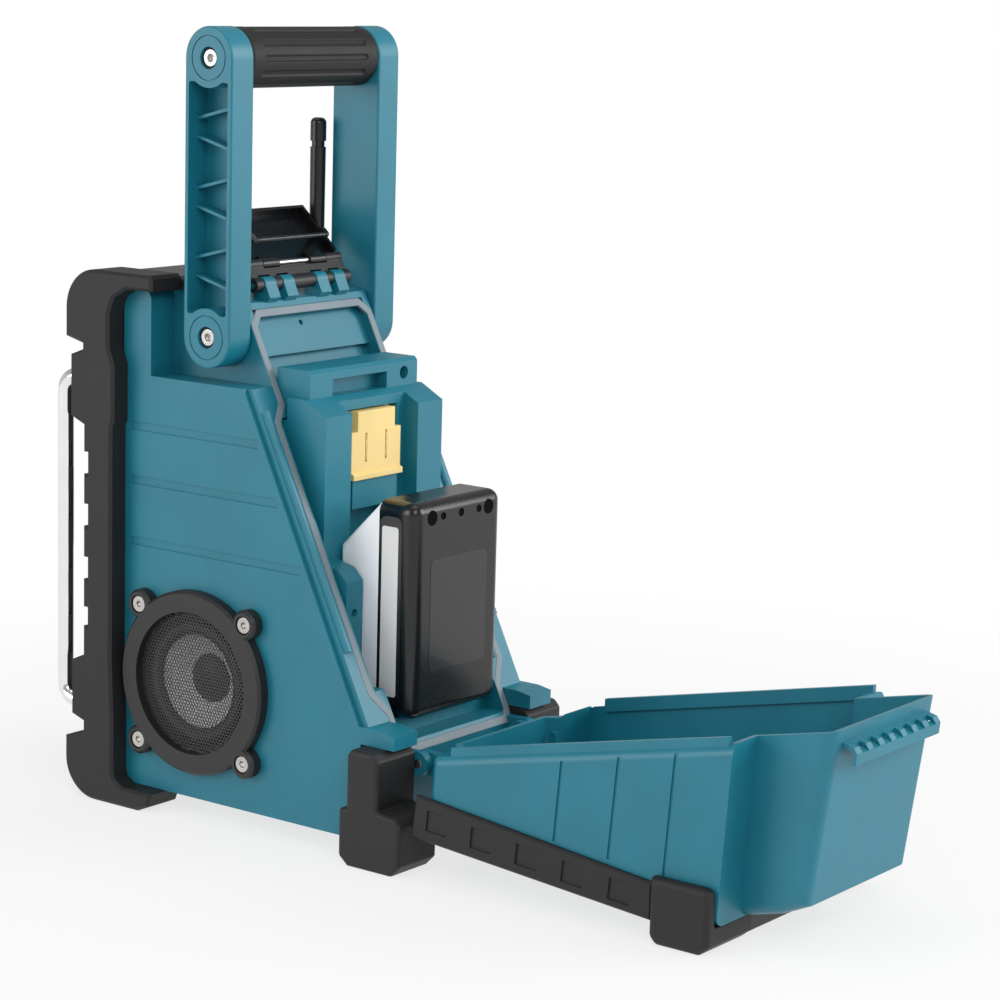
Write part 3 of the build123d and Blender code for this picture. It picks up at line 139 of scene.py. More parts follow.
class Nodes:
    """A tree of shader nodes, and the ways to add to it."""

    # the Mix node's sockets for a colour, by number
    MIX_FACTOR, MIX_LOW, MIX_HIGH, MIX_COLOUR = 0, 6, 7, 2

    def __init__(self, tree: bpy.types.NodeTree) -> None:
        """Work on a tree."""
        self.tree = tree

    def node(self, kind: str, settings: dict | None = None, inputs: dict | None = None) -> bpy.types.Node:
        """Add a node.

        Args:
            kind: Blender's name of the node's type.
            settings: its properties, set first.
            inputs: values or links of its sockets, by name or number.

        Returns:
            The node.
        """
        made = self.tree.nodes.new(kind)
        for name, setting in (settings or {}).items():
            setattr(made, name, setting)
        for name, value in (inputs or {}).items():
            self.feed(made.inputs[name], value)
        return made

    def feed(self, socket: bpy.types.NodeSocket, value: object) -> None:
        """Give a socket a plain value or a link.

        Args:
            socket: the socket.
            value: a value or an output to link, or a number, vector or colour to set.
        """
        if isinstance(value, Value):
            value = value.socket
        if isinstance(value, bpy.types.NodeSocket):
            self.tree.links.new(value, socket)
        elif isinstance(value, tuple) and socket.type == "RGBA":
            socket.default_value = (*value, 1.0)
        else:
            socket.default_value = value

    def place(self, space: str = "Object") -> bpy.types.NodeSocket:
        """Where the point is on the piece, in metres, or in another texture space."""
        return self.node("ShaderNodeTexCoord").outputs[space]

    def axes(self, space: str = "Object") -> tuple[Value, Value, Value]:
        """The point's three coordinates."""
        split = self.node("ShaderNodeSeparateXYZ", inputs={0: self.place(space)})
        return tuple(Value(self, out) for out in split.outputs)

    def rays(self) -> tuple[Value, Value, Value]:
        """1 for rays from the eye, off gloss and through glass, and 0 for others."""
        path = self.node("ShaderNodeLightPath")
        names = ("Is Camera Ray", "Is Glossy Ray", "Is Transmission Ray")
        return tuple(Value(self, path.outputs[name]) for name in names)

    def noise(self, size: float, detail: float = 2.0) -> Value:
        """Soft random values.

        Args:
            size: width of a blotch, in millimetres.
            detail: how many finer layers are added.

        Returns:
            Values from about 0.2 to 0.8.
        """
        inputs = {"Vector": self.place(), "Scale": 1.0 / (size * MM), "Detail": detail}
        return Value(self, self.node("ShaderNodeTexNoise", inputs=inputs).outputs[0])

    def mix(self, mask: Number, low: object, high: object) -> bpy.types.NodeSocket:
        """A colour that goes from low to high as the mask goes from 0 to 1."""
        inputs = {self.MIX_FACTOR: mask, self.MIX_LOW: low, self.MIX_HIGH: high}
        return self.node("ShaderNodeMix", {"data_type": "RGBA"}, inputs).outputs[self.MIX_COLOUR]

    def bump(self, height: Value, depth: float) -> bpy.types.NodeSocket:
        """The normal of a relief whose depth is in millimetres."""
        return self.node("ShaderNodeBump", inputs={"Height": height, "Distance": depth * MM}).outputs[0]


class Shader(Nodes):
    """One material, and the nodes that make it."""

    def __init__(self, name: str) -> None:
        """Start a material with a Principled surface.

        Args:
            name: the material's name.
        """
        self.material = bpy.data.materials.new(name)
        self.material.use_nodes = True
        super().__init__(self.material.node_tree)
        self.surface = self.tree.nodes["Principled BSDF"]
        self.output = self.tree.nodes["Material Output"]

    def set(self, **inputs: object) -> None:
        """Set sockets of the Principled surface, spaces written as underscores."""
        for name, value in inputs.items():
            self.feed(self.surface.inputs[name.replace("_", " ")], value)


# ------------------------------------------------------------------ finishes
NOISE_LOW, NOISE_MIDDLE, NOISE_HIGH = 0.3, 0.5, 0.7


def dimmed(colour: Colour, share: float) -> Colour:
    """A colour with a share of it taken away."""
    return tuple(part * (1.0 - share) for part in colour)


@dataclass(frozen=True)
class Moulded:
    """Moulded plastic or rubber with a spark-eroded grain."""

    name: str
    colour: Colour
    roughness: float = 0.45
    grain: float = 0.45            # width of the grain, mm
    relief: float = 0.012          # height of the grain, mm
    drift: float = 0.08            # how far the colour wanders
    specular: float = 0.5
    cloud: float = 38.0            # width of the colour's blotches, mm
    detail: float = 3.0
    cloud_rub: float = 0.14        # how far the roughness wanders with the blotches
    grain_rub: float = 0.12        # and with the grain

    def make(self) -> bpy.types.Material:
        """Build the material."""
        shader = Shader(self.name)
        cloud = shader.noise(self.cloud, self.detail)
        speck = shader.noise(self.grain, self.detail)
        wander = (cloud - NOISE_MIDDLE) * self.cloud_rub + (speck - NOISE_MIDDLE) * self.grain_rub
        shader.set(Base_Color=shader.mix(cloud.ramp(NOISE_LOW, NOISE_HIGH), dimmed(self.colour, self.drift),
                                         dimmed(self.colour, -self.drift)),
                   Roughness=self.roughness + wander,
                   Specular_IOR_Level=self.specular,
                   Normal=shader.bump(speck, self.relief))
        return shader.material


@dataclass(frozen=True)
class Metal:
    """Bare or plated metal with fine rubbing marks."""

    name: str
    colour: Colour
    roughness: float = 0.25
    rub: float = 0.1               # how far the roughness wanders
    cloudy: float = 0.14           # how far the colour dulls
    scratch: float = 0.004         # depth of the rubbing marks, mm
    mark: float = 2.4              # width of the rubbing marks, mm
    mark_detail: float = 4.0
    cloud: float = 9.0             # width of the dull blotches, mm

    def make(self) -> bpy.types.Material:
        """Build the material."""
        shader = Shader(self.name)
        marks = shader.noise(self.mark, self.mark_detail)
        cloud = shader.noise(self.cloud)
        shader.set(Base_Color=shader.mix(cloud.ramp(NOISE_LOW, NOISE_HIGH), dimmed(self.colour, self.cloudy),
                                         self.colour),
                   Metallic=1.0,
                   Roughness=self.roughness + (marks - NOISE_MIDDLE) * self.rub,
                   Normal=shader.bump(marks, self.scratch))
        return shader.material


@dataclass(frozen=True)
class Film:
    """Label film: smooth, with a faint orange peel."""

    name: str
    colour: Colour
    roughness: float = 0.3
    peel: float = 1.6              # width of the orange peel, mm
    relief: float = 0.006          # its height, mm
    fade: float = 0.03             # how far the colour wanders with it
    rub: float = 0.08              # how far the roughness wanders with it
    coat: float = 0.25

    def make(self) -> bpy.types.Material:
        """Build the material."""
        shader = Shader(self.name)
        peel = shader.noise(self.peel, 1.0)
        shader.set(Base_Color=shader.mix(peel, dimmed(self.colour, self.fade), self.colour),
                   Roughness=self.roughness + (peel - NOISE_MIDDLE) * self.rub,
                   Coat_Weight=self.coat,
                   Normal=shader.bump(peel, self.relief))
        return shader.material


@dataclass(frozen=True)
class Lens:
    """Smoked clear plastic."""

    name: str
    colour: Colour
    roughness: float = 0.06
    clearness: float = 0.9
    bending: float = 1.49          # index of refraction

    def make(self) -> bpy.types.Material:
        """Build the material."""
        shader = Shader(self.name)
        shader.set(Base_Color=self.colour, Roughness=self.roughness, Transmission_Weight=self.clearness,
                   IOR=self.bending)
        return shader.material


class Finish(Enum):
    """Every finish on the radio."""

    TEAL = Moulded("teal_plastic", (0.008, 0.170, 0.240), roughness=0.40, grain=0.4, relief=0.010, drift=0.05)
    BLACK = Moulded("black_plastic", (0.012, 0.012, 0.013), roughness=0.44, grain=0.4)
    GLOSS_BLACK = Moulded("gloss_black", (0.006, 0.006, 0.007), roughness=0.26, grain=0.8, relief=0.004)
    RUBBER = Moulded("black_rubber", (0.014, 0.0135, 0.014), roughness=0.56, grain=0.6, relief=0.02,
                     drift=0.12, specular=0.4)
    GRIP = Moulded("grip_rubber", (0.011, 0.0105, 0.010), roughness=0.56, grain=0.5, relief=0.02,
                   drift=0.15, specular=0.32)
    RING = Moulded("ring_plastic", (0.014, 0.0135, 0.014), roughness=0.5, grain=0.35)
    SEAL = Moulded("seal_grey", (0.20, 0.25, 0.28), roughness=0.6, grain=0.5, drift=0.06)
    YELLOW = Moulded("yellow_plastic", (0.84, 0.63, 0.25), roughness=0.4, grain=0.5, drift=0.04)
    GREY = Moulded("grey_plastic", (0.86, 0.88, 0.91), roughness=0.42, grain=0.4, drift=0.03)
    BUTTON = Moulded("button_grey", (0.10, 0.10, 0.105), roughness=0.5, grain=0.4)
    CONE = Moulded("cone_paper", (0.80, 0.80, 0.80), roughness=0.55, grain=0.7, relief=0.03, drift=0.1)
    SURROUND = Moulded("surround_rubber", (0.02, 0.02, 0.02), roughness=0.5, grain=0.5)
    FRAME = Moulded("driver_frame", (0.06, 0.06, 0.065), roughness=0.4, grain=0.6)
    GRILLE = Moulded("grille_steel", (0.035, 0.035, 0.036), roughness=0.38, grain=0.3, relief=0.006)
    BOARD = Moulded("board", (0.02, 0.16, 0.06), roughness=0.4, grain=0.5)
    # near-black and barely reflecting: painted shade of the battery's screw holes
    HOLE_SHADE = Moulded("screw_hole_shade", (0.002, 0.002, 0.002), roughness=0.7, grain=0.5, specular=0.05)
    STEEL = Metal("steel", (0.58, 0.56, 0.54), roughness=0.22)
    CHROME = Metal("chrome_bar", (0.84, 0.84, 0.86), roughness=0.06, rub=0.02, cloudy=0.03, scratch=0.0004)
    BRASS = Metal("brass_blade", (0.80, 0.58, 0.26), roughness=0.28)
    CELL = Metal("cell_metal", (0.55, 0.55, 0.57), roughness=0.35)
    LABEL = Film("white_label", (0.70, 0.70, 0.70))
    BED = Film("label_bed", (0.007, 0.007, 0.008), roughness=0.30)
    DISPLAY = Film("display", (0.16, 0.20, 0.15))
    LENS = Lens("lens", (0.55, 0.58, 0.58))

    def material(self) -> bpy.types.Material:
        """The material of this finish, made once."""
        name = self.value.name + "_finish"
        found = bpy.data.materials.get(name)
        if found is None:
            found = self.value.make()
            found.name = name
        return found


# ------------------------------------------------------------------ mesh tools
WELD_GAP = 0.02                    # points closer than this become one, mm
FLAT_ANGLE = 0.6                   # faces that turn less than this many degrees become one
EDGE_ANGLE = 28.0                  # edges sharper than this many degrees are rounded
EDGE_FACETS = 3                    # facets across a rounding
CORNER_FACETS = 8                  # facets round a plate's corner
FLAT_WEIGHT = 80                   # how much the large faces lead the shading


def new_piece(name: str, mesh: bmesh.types.BMesh, finish: Finish, body: str,
              replaces: Sequence[str] = ()) -> bpy.types.Object:
    """Turn a bmesh into a named piece that rides on a body.

    Args:
        name: the piece's name.
        mesh: its mesh, in metres in the row frame, freed here.
        finish: its finish.
        body: the body that it rides on.
        replaces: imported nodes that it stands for.

    Returns:
        The new object.
    """
    bmesh.ops.recalc_face_normals(mesh, faces=mesh.faces)
    data = bpy.data.meshes.new(name)
    mesh.to_mesh(data)
    mesh.free()
    data.shade_smooth()
    data.materials.append(finish.material())
    piece = bpy.data.objects.new(name, data)
    bpy.context.scene.collection.objects.link(piece)
    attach(piece, body)
    if replaces:
        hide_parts(*replaces)
    log.info("piece %s on %s", name, body)
    return piece


def soften(piece: bpy.types.Object, width: float) -> None:
    """Round a piece's edges.

    Args:
        piece: the object.
        width: width of the rounding, in millimetres.
    """
    weld = piece.modifiers.new("weld", "WELD")
    weld.merge_threshold = WELD_GAP * MM
    flat = piece.modifiers.new("flat", "DECIMATE")
    flat.decimate_type = "DISSOLVE"
    flat.angle_limit = radians(FLAT_ANGLE)
    bevel = piece.modifiers.new("round", "BEVEL")
    bevel.width = width * MM
    bevel.segments = EDGE_FACETS
    bevel.limit_method = "ANGLE"
    bevel.angle_limit = radians(EDGE_ANGLE)
    bevel.use_clamp_overlap = True
    bevel.miter_outer = "MITER_ARC"
    shade_weighted(piece)


def shade_weighted(piece: bpy.types.Object) -> None:
    """Shade flats flat and roundings smooth.

    Args:
        piece: the object.
    """
    normals = piece.modifiers.new("normals", "WEIGHTED_NORMAL")
    normals.weight = FLAT_WEIGHT
    normals.keep_sharp = False


def lathe(profile: Profile, centre: Point, side: float, steps: int) -> bmesh.types.BMesh:
    """A closed profile turned round a line along X.

    Args:
        profile: (radius, place along X outward) of its points, in millimetres.
        centre: a point of the axis, in metres.
        side: 1 or -1, which way outward is.
        steps: facets round the axis.

    Returns:
        The mesh.
    """
    mesh = bmesh.new()
    turns = [2 * pi * k / steps for k in range(steps)]
    rings = []
    for radius, along in profile:
        x = centre[0] + side * along * MM
        reach = radius * MM
        if radius == 0.0:
            rings.append([mesh.verts.new((x, centre[1], centre[2]))])
        else:
            rings.append([mesh.verts.new((x, centre[1] + reach * cos(t), centre[2] + reach * sin(t)))
                          for t in turns])
    for one, two in zip(rings, rings[1:]):
        for k in range(steps):
            after = (k + 1) % steps
            around = [one[k % len(one)], one[after % len(one)], two[after % len(two)], two[k % len(two)]]
            around = list(dict.fromkeys(around))
            if len(around) > 2:
                mesh.faces.new(around)
    return mesh


def plate(size: tuple[float, float], corner: float, thick: float, centre: Vector, across: Vector,
          out: Vector) -> bmesh.types.BMesh:
    """An upright plate with rounded corners.

    Args:
        size: width and height, in millimetres.
        corner: radius of the corners, in millimetres.
        thick: thickness, in millimetres.
        centre: middle of its back, in metres.
        across: direction of its width.
        out: direction that it faces.

    Returns:
        The mesh.
    """
    half_width, half_height = size[0] / 2 - corner, size[1] / 2 - corner
    outline = []
    for quarter, (right, up) in enumerate(((1, 1), (-1, 1), (-1, -1), (1, -1))):
        for step in range(CORNER_FACETS + 1):
            turn = (quarter + step / CORNER_FACETS) * pi / 2
            outline.append((right * half_width + corner * cos(turn), up * half_height + corner * sin(turn)))
    mesh = bmesh.new()
    back, front = [[mesh.verts.new(centre + (across * u + UP * v + out * level) * MM) for u, v in outline]
                   for level in (0.0, thick)]
    for k in range(len(outline)):
        after = (k + 1) % len(outline)
        mesh.faces.new((back[k], back[after], front[after], front[k]))
    mesh.faces.new(back)
    mesh.faces.new(front)
    return mesh


# ------------------------------------------------------------------ studio
@dataclass(frozen=True)
class SoftBox:
    """A square soft light, in metres and watts."""

    name: str
    place: Point
    size: float
    power: float

    def build(self, aim: Vector) -> None:
        """Hang the light.

        Args:
            aim: the point that it faces.
        """
        data = bpy.data.lights.new(self.name, "AREA")
        data.shape = "SQUARE"
        data.size = self.size
        data.energy = self.power
        lamp = bpy.data.objects.new(self.name, data)
        lamp.location = self.place
        lamp.rotation_euler = (aim - Vector(self.place)).to_track_quat("-Z", "Y").to_euler()
        bpy.context.scene.collection.objects.link(lamp)


@dataclass
class Studio:
    """Camera, pale floor and soft lights."""

    azimuth: float = 126.52
    elevation: float = 10.41
    roll: float = 1.60
    lens: float = 105.34
    sensor: float = 36.0
    sight: float = 50.0            # how far the camera sees, m
    place: Point = (1.220, 0.90585, 0.468)
    aim: Point = (0.0, 0.0, 0.18)
    boxes: tuple[SoftBox, ...] = (
        SoftBox("key", (-1.5, 1.9, 1.1), 1.5, 46.0),
        SoftBox("fill", (1.9, -1.3, 0.8), 1.4, 20.0),
        SoftBox("front", (1.6, 1.6, 1.6), 1.2, 21.0),
        SoftBox("top", (0.0, 0.0, 2.4), 1.6, 10.0),
    )
    floor_size: float = 8.0
    floor_colour: Colour = (0.82, 0.82, 0.82)
    floor_roughness: float = 0.9
    floor_specular: float = 0.1
    floor_fade: tuple[float, float] = (0.06, 0.5)      # from the radio's shadow to white, m squared
    floor_white: float = 0.74      # how white the eye sees the floor beside the radio
    floor_gloss: float = 0.8       # how white gloss sees it
    sky_fade: tuple[float, float] = (0.1, 0.75)        # heights between which the sky dims for gloss
    sky_top: float = 0.12          # what gloss sees overhead
    sky_gain: float = 0.5          # and how much more at eye level
    sky_room: float = 0.42         # light of the sky on the radio
    flag_depth: float = 0.9        # how dark the black flag beside the radio is
    flag_way: tuple[float, float] = (0.6, 0.8)         # where it stands
    flag_edge: tuple[float, float] = (0.2, 0.32)       # its soft near edge
    flag_end: tuple[float, float] = (0.9, 0.1)         # its far end, and how soft that is

    def build(self) -> None:
        """Make all of it."""
        self.camera()
        self.floor()
        self.world()
        for box in self.boxes:
            box.build(Vector(self.aim))

    def camera(self) -> None:
        """A long lens at the height of the handle."""
        turn, rise, roll = radians(self.azimuth), radians(self.elevation), radians(self.roll)
        back = Vector((sin(turn) * cos(rise), -cos(turn) * cos(rise), sin(rise)))
        level = UP.cross(back).normalized()
        upright = back.cross(level)
        right = cos(roll) * level + sin(roll) * upright
        top = cos(roll) * upright - sin(roll) * level
        data = bpy.data.cameras.new("camera")
        data.lens = self.lens
        data.sensor_width = self.sensor
        data.clip_end = self.sight
        camera = bpy.data.objects.new("camera", data)
        pose = Matrix((right, top, back)).transposed().to_4x4()
        pose.translation = Vector(self.place)
        camera.matrix_world = pose
        bpy.context.scene.collection.objects.link(camera)
        bpy.context.scene.camera = camera

    def floor(self) -> None:
        """Pale floor that keeps the radio's shadow and fades into the white behind it."""
        mesh = bmesh.new()
        bmesh.ops.create_grid(mesh, x_segments=1, y_segments=1, size=self.floor_size / 2)
        data = bpy.data.meshes.new("floor")
        mesh.to_mesh(data)
        mesh.free()
        data.materials.append(self.floor_material())
        floor = bpy.data.objects.new("floor", data)
        bpy.context.scene.collection.objects.link(floor)

    def floor_material(self) -> bpy.types.Material:
        """Matt pale floor that the eye sees as nearly white."""
        shader = Shader("floor")
        shader.set(Base_Color=self.floor_colour, Roughness=self.floor_roughness,
                   Specular_IOR_Level=self.floor_specular)
        x, y, _ = shader.axes()
        far = (x * x + y * y).ramp(*self.floor_fade)
        seen, mirrored, through = shader.rays()
        share = seen * (self.floor_white + far * (1.0 - self.floor_white))
        share = share.most(mirrored * self.floor_gloss).most(through)
        white = shader.node("ShaderNodeEmission", inputs={"Color": WHITE, "Strength": 1.0})
        blend = shader.node("ShaderNodeMixShader",
                            inputs={0: share, 1: shader.surface.outputs[0], 2: white.outputs[0]})
        shader.feed(shader.output.inputs["Surface"], blend.outputs[0])
        return shader.material

    def world(self) -> None:
        """White all round for the eye, and for gloss dimmer overhead and behind a black flag."""
        world = bpy.data.worlds.new("world")
        bpy.context.scene.world = world
        world.use_nodes = True
        nodes = Nodes(world.node_tree)
        seen, mirrored, through = nodes.rays()
        across, along, rise = nodes.axes("Generated")
        gloss = self.sky_top + (1.0 - rise.ramp(*self.sky_fade)) * self.sky_gain
        end, softness = self.flag_end
        flag = (along * self.flag_way[1] + across * self.flag_way[0]).ramp(*self.flag_edge)
        flag = flag * (end - along).ramp(0.0, softness)
        gloss = gloss * (1.0 - flag * self.flag_depth)
        backdrop = nodes.tree.nodes["Background"]
        nodes.feed(backdrop.inputs["Color"], WHITE)
        nodes.feed(backdrop.inputs["Strength"], seen.most(through).most(mirrored * gloss).most(self.sky_room))


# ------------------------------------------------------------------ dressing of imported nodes
@dataclass
class Dresser:
    """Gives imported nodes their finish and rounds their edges."""

    nodes: dict

    def dress(self, name: str, finish: Finish, edge: float = 0.0) -> None:
        """Dress one node.

        Args:
            name: the node.
            finish: its finish.
            edge: width of the edge rounding in millimetres, none if 0.
        """
        node = self.nodes[name]
        for place in node.material_slots:
            place.material = finish.material()
        if edge > 0.0:
            soften(node, edge)
        log.info("node %s in %s", name, finish.value.name)

    def pair(self, name: str, finish: Finish, edge: float = 0.0) -> None:
        """Dress the right-hand and left-hand node of a pair."""
        for hand, _ in SIDES:
            self.dress(f"{name}_{hand}", finish, edge)


# ------------------------------------------------------------------ housing, front and armour
@dataclass
class Housing:
    """Main moulding, the cover's seal round its opening and the board inside."""

    dresser: Dresser
    edge: float = 0.9
    seal_edge: float = 0.4

    def build(self) -> None:
        """Dress the housing."""
        self.dresser.dress("main_housing", Finish.TEAL, self.edge)
        self.dresser.dress("cover_gasket", Finish.SEAL, self.seal_edge)
        self.dresser.dress("circuit_board", Finish.BOARD)


@dataclass
class Front:
    """Front panel, display, buttons, dial and sockets."""

    dresser: Dresser
    edge: float = 0.8

    def build(self) -> None:
        """Dress the front."""
        dress = self.dresser.dress
        dress("front_panel", Finish.BLACK, self.edge)
        dress("display_module", Finish.DISPLAY)
        dress("display_lens", Finish.LENS)
        for name in ("tuning_dial", "aux_jack", "power_jack"):
            dress(name, Finish.BLACK)
        for name in self.dresser.nodes:
            if name.startswith("button_"):
                dress(name, Finish.BUTTON)


@dataclass
class Armour:
    """Rubber bumpers and feet, and the bright guard bars."""

    dresser: Dresser
    bumper_edge: float = 1.3
    foot_edge: float = 1.2

    def build(self) -> None:
        """Dress the armour."""
        self.dresser.pair("front_bumper", Finish.RUBBER, self.bumper_edge)
        self.dresser.pair("rear_foot", Finish.RUBBER, self.foot_edge)
        self.dresser.pair("guard_bar", Finish.CHROME)


# ------------------------------------------------------------------ loudspeakers
@dataclass
class Driver:
    """Rolled surround, paper cone and dust cap; places are out from the side panel's face."""

    hand: str
    side: float
    centre: Point                  # middle of the loudspeaker on the panel's face, m
    lip: float = 0.4               # face of the surround's rim, mm
    surround_radius: float = 36.0
    surround_thick: float = 1.8
    rim: float = 1.5               # width of the surround's flat rim
    rim_thick: float = 1.2
    roll_height: float = 0.55      # height of the roll over its half width
    roll_sunk: float = 0.8
    cone_radius: float = 26.0
    cone_lap: float = 0.6          # how far the cone reaches under the surround
    cone_sunk: float = 1.0
    cone_depth: float = 11.5
    cone_curve: float = 0.85       # under 1 for a cone that is steeper outside
    cone_wall: tuple[float, float] = (0.6, 0.7)        # its thickness, inward and back
    cap_radius: float = 13.5
    cap_lap: float = 1.0           # how far the cone reaches under the cap
    cap_sunk: float = 7.2
    cap_rise: float = 4.0
    cap_depth: float = 12.2
    curve_facets: int = 8          # facets along each curve
    turn_facets: int = 72          # facets round the axis

    def build(self) -> None:
        """Make the three pieces."""
        self.surround()
        self.cone()
        self.cap()

    def add(self, name: str, profile: Profile, finish: Finish, slot: str, *replaces: str) -> None:
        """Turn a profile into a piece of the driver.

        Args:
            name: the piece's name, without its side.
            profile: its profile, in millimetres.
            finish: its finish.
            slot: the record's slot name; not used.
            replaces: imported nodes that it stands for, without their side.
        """
        mesh = lathe(profile, self.centre, self.side, self.turn_facets)
        new_piece(f"{name}_{self.hand}", mesh, finish, "housing",
                  [f"{node}_{self.hand}" for node in replaces])

    def surround(self) -> None:
        """Flat rim and half roll of rubber."""
        outer, inner = self.surround_radius - self.rim, self.cone_radius
        middle, half = (outer + inner) / 2, (outer - inner) / 2
        back = self.lip - self.surround_thick
        profile = [(self.surround_radius, self.lip - self.rim_thick), (self.surround_radius, self.lip)]
        for k in range(self.curve_facets + 1):
            t = pi * k / self.curve_facets
            rise = self.roll_height * half * sin(t) - self.roll_sunk
            profile.append((middle + half * cos(t), self.lip + rise))
        profile += [(inner, back), (self.surround_radius, back), profile[0]]
        self.add("driver_surround", profile, Finish.SURROUND, "black_rubber")

    def cone(self) -> None:
        """Slightly curved paper cone."""
        start = self.cone_radius + self.cone_lap
        reach = start - (self.cap_radius - self.cap_lap)
        profile = []
        for k in range(self.curve_facets + 1):
            t = k / self.curve_facets
            sunk = self.cone_sunk + self.cone_depth * t ** self.cone_curve
            profile.append((start - t * reach, self.lip - sunk))
        inward, backward = self.cone_wall
        profile += [(radius - inward, along - backward) for radius, along in reversed(profile)]
        profile.append(profile[0])
        self.add("driver_cone", profile, Finish.CONE, "cone_paper", "speaker_cone")

    def cap(self) -> None:
        """Domed dust cap."""
        profile = []
        for k in range(self.curve_facets + 1):
            t = k / self.curve_facets
            profile.append((self.cap_radius * t, self.lip - (self.cap_sunk + self.cap_rise * t * t)))
        back = self.lip - self.cap_depth
        profile += [(self.cap_radius, back), (0.0, back)]
        self.add("driver_cap", profile, Finish.SURROUND, "cone_paper")


@dataclass
class Grille:
    """Steel sheet with hexagonally packed holes; places are out from the side panel's face."""

    hand: str
    side: float
    centre: Point                  # middle of the loudspeaker on the panel's face, m
    radius: float = 40.8
    back: float = 1.9
    thick: float = 0.4
    pitch: float = 2.05            # hole to hole
    hole: float = 0.87             # hole's radius
    margin: float = 0.75           # bare rim, in pitches
    hole_edge: float = 0.12        # bevel of the holes
    hole_edge_angle: float = 60.0
    grid: int = 1000               # steps of a pitch by which shared points are told apart

    def build(self) -> None:
        """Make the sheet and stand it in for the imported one."""
        _, y0, z0 = self.centre
        x = self.centre[0] + self.side * (self.back + self.thick) * MM
        mesh = bmesh.new()
        joints: dict[tuple[int, int], bmesh.types.BMVert] = {}
        pitch, hole = self.pitch * MM, self.hole * MM
        reach = pitch / sqrt(3)
        turns = [radians(turn) for turn in range(30, 360, 60)]
        for cell_y, cell_z in self.cells():
            outer = []
            for t in turns:
                y, z = cell_y + reach * cos(t), cell_z + reach * sin(t)
                key = (round(y / pitch * self.grid), round(z / pitch * self.grid))
                if key not in joints:
                    joints[key] = mesh.verts.new((x, y0 + y, z0 + z))
                outer.append(joints[key])
            inner = [mesh.verts.new((x, y0 + cell_y + hole * cos(t), z0 + cell_z + hole * sin(t)))
                     for t in turns]
            for k in range(len(turns)):
                after = (k + 1) % len(turns)
                mesh.faces.new((outer[k], outer[after], inner[after], inner[k]))
        self.round_off(joints.values(), (x, y0, z0))
        self.thicken(new_piece(f"grille_sheet_{self.hand}", mesh, Finish.GRILLE, "housing",
                               (f"speaker_grille_{self.hand}",)))

    def cells(self) -> Iterator[tuple[float, float]]:
        """Middles of the holes, from the sheet's middle, in metres."""
        pitch, radius = self.pitch * MM, self.radius * MM
        rows = ceil(radius / (pitch * sqrt(3) / 2))
        for row in range(-rows, rows + 1):
            for column in range(-rows - 1, rows + 2):
                y, z = (column + 0.5 * (row % 2)) * pitch, row * pitch * sqrt(3) / 2
                if hypot(y, z) <= radius - self.margin * pitch:
                    yield y, z

    def round_off(self, joints: Iterable[bmesh.types.BMVert], middle: Point) -> None:
        """Pull the outermost points onto the sheet's round edge.

        Args:
            joints: points that the cells share.
            middle: the sheet's middle, in metres.
        """
        inside = 6                 # faces that meet at a point away from the edge
        for vertex in joints:
            if len(vertex.link_faces) < inside:
                away = Vector((0.0, vertex.co.y - middle[1], vertex.co.z - middle[2]))
                vertex.co = Vector(middle) + away * (self.radius * MM / away.length)

    def thicken(self, sheet: bpy.types.Object) -> None:
        """Give the sheet its thickness and ease the holes' edges.

        Args:
            sheet: the flat sheet.
        """
        thick = sheet.modifiers.new("thick", "SOLIDIFY")
        thick.thickness = self.thick * MM
        thick.offset = -self.side
        edge = sheet.modifiers.new("edge", "BEVEL")
        edge.width = self.hole_edge * MM
        edge.segments = 1
        edge.limit_method = "ANGLE"
        edge.angle_limit = radians(self.hole_edge_angle)


@dataclass
class Loudspeakers:
    """Both side loudspeakers."""

    dresser: Dresser
    panel_face: float = 69.5       # outer face of the side panels, mm
    ring_edge: float = 0.7
    screw_edge: float = 0.4

    def build(self) -> None:
        """Make the grilles and drivers, and dress what holds them."""
        for hand, side in SIDES:
            low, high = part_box(f"speaker_grille_{hand}")
            centre = (side * self.panel_face * MM, (low.y + high.y) / 2, (low.z + high.z) / 2)
            Grille(hand, side, centre).build()
            Driver(hand, side, centre).build()
        self.dresser.pair("speaker_ring", Finish.RING, self.ring_edge)
        self.dresser.pair("speaker_basket", Finish.FRAME)
        self.dresser.dress("speaker_screws", Finish.STEEL, self.screw_edge)


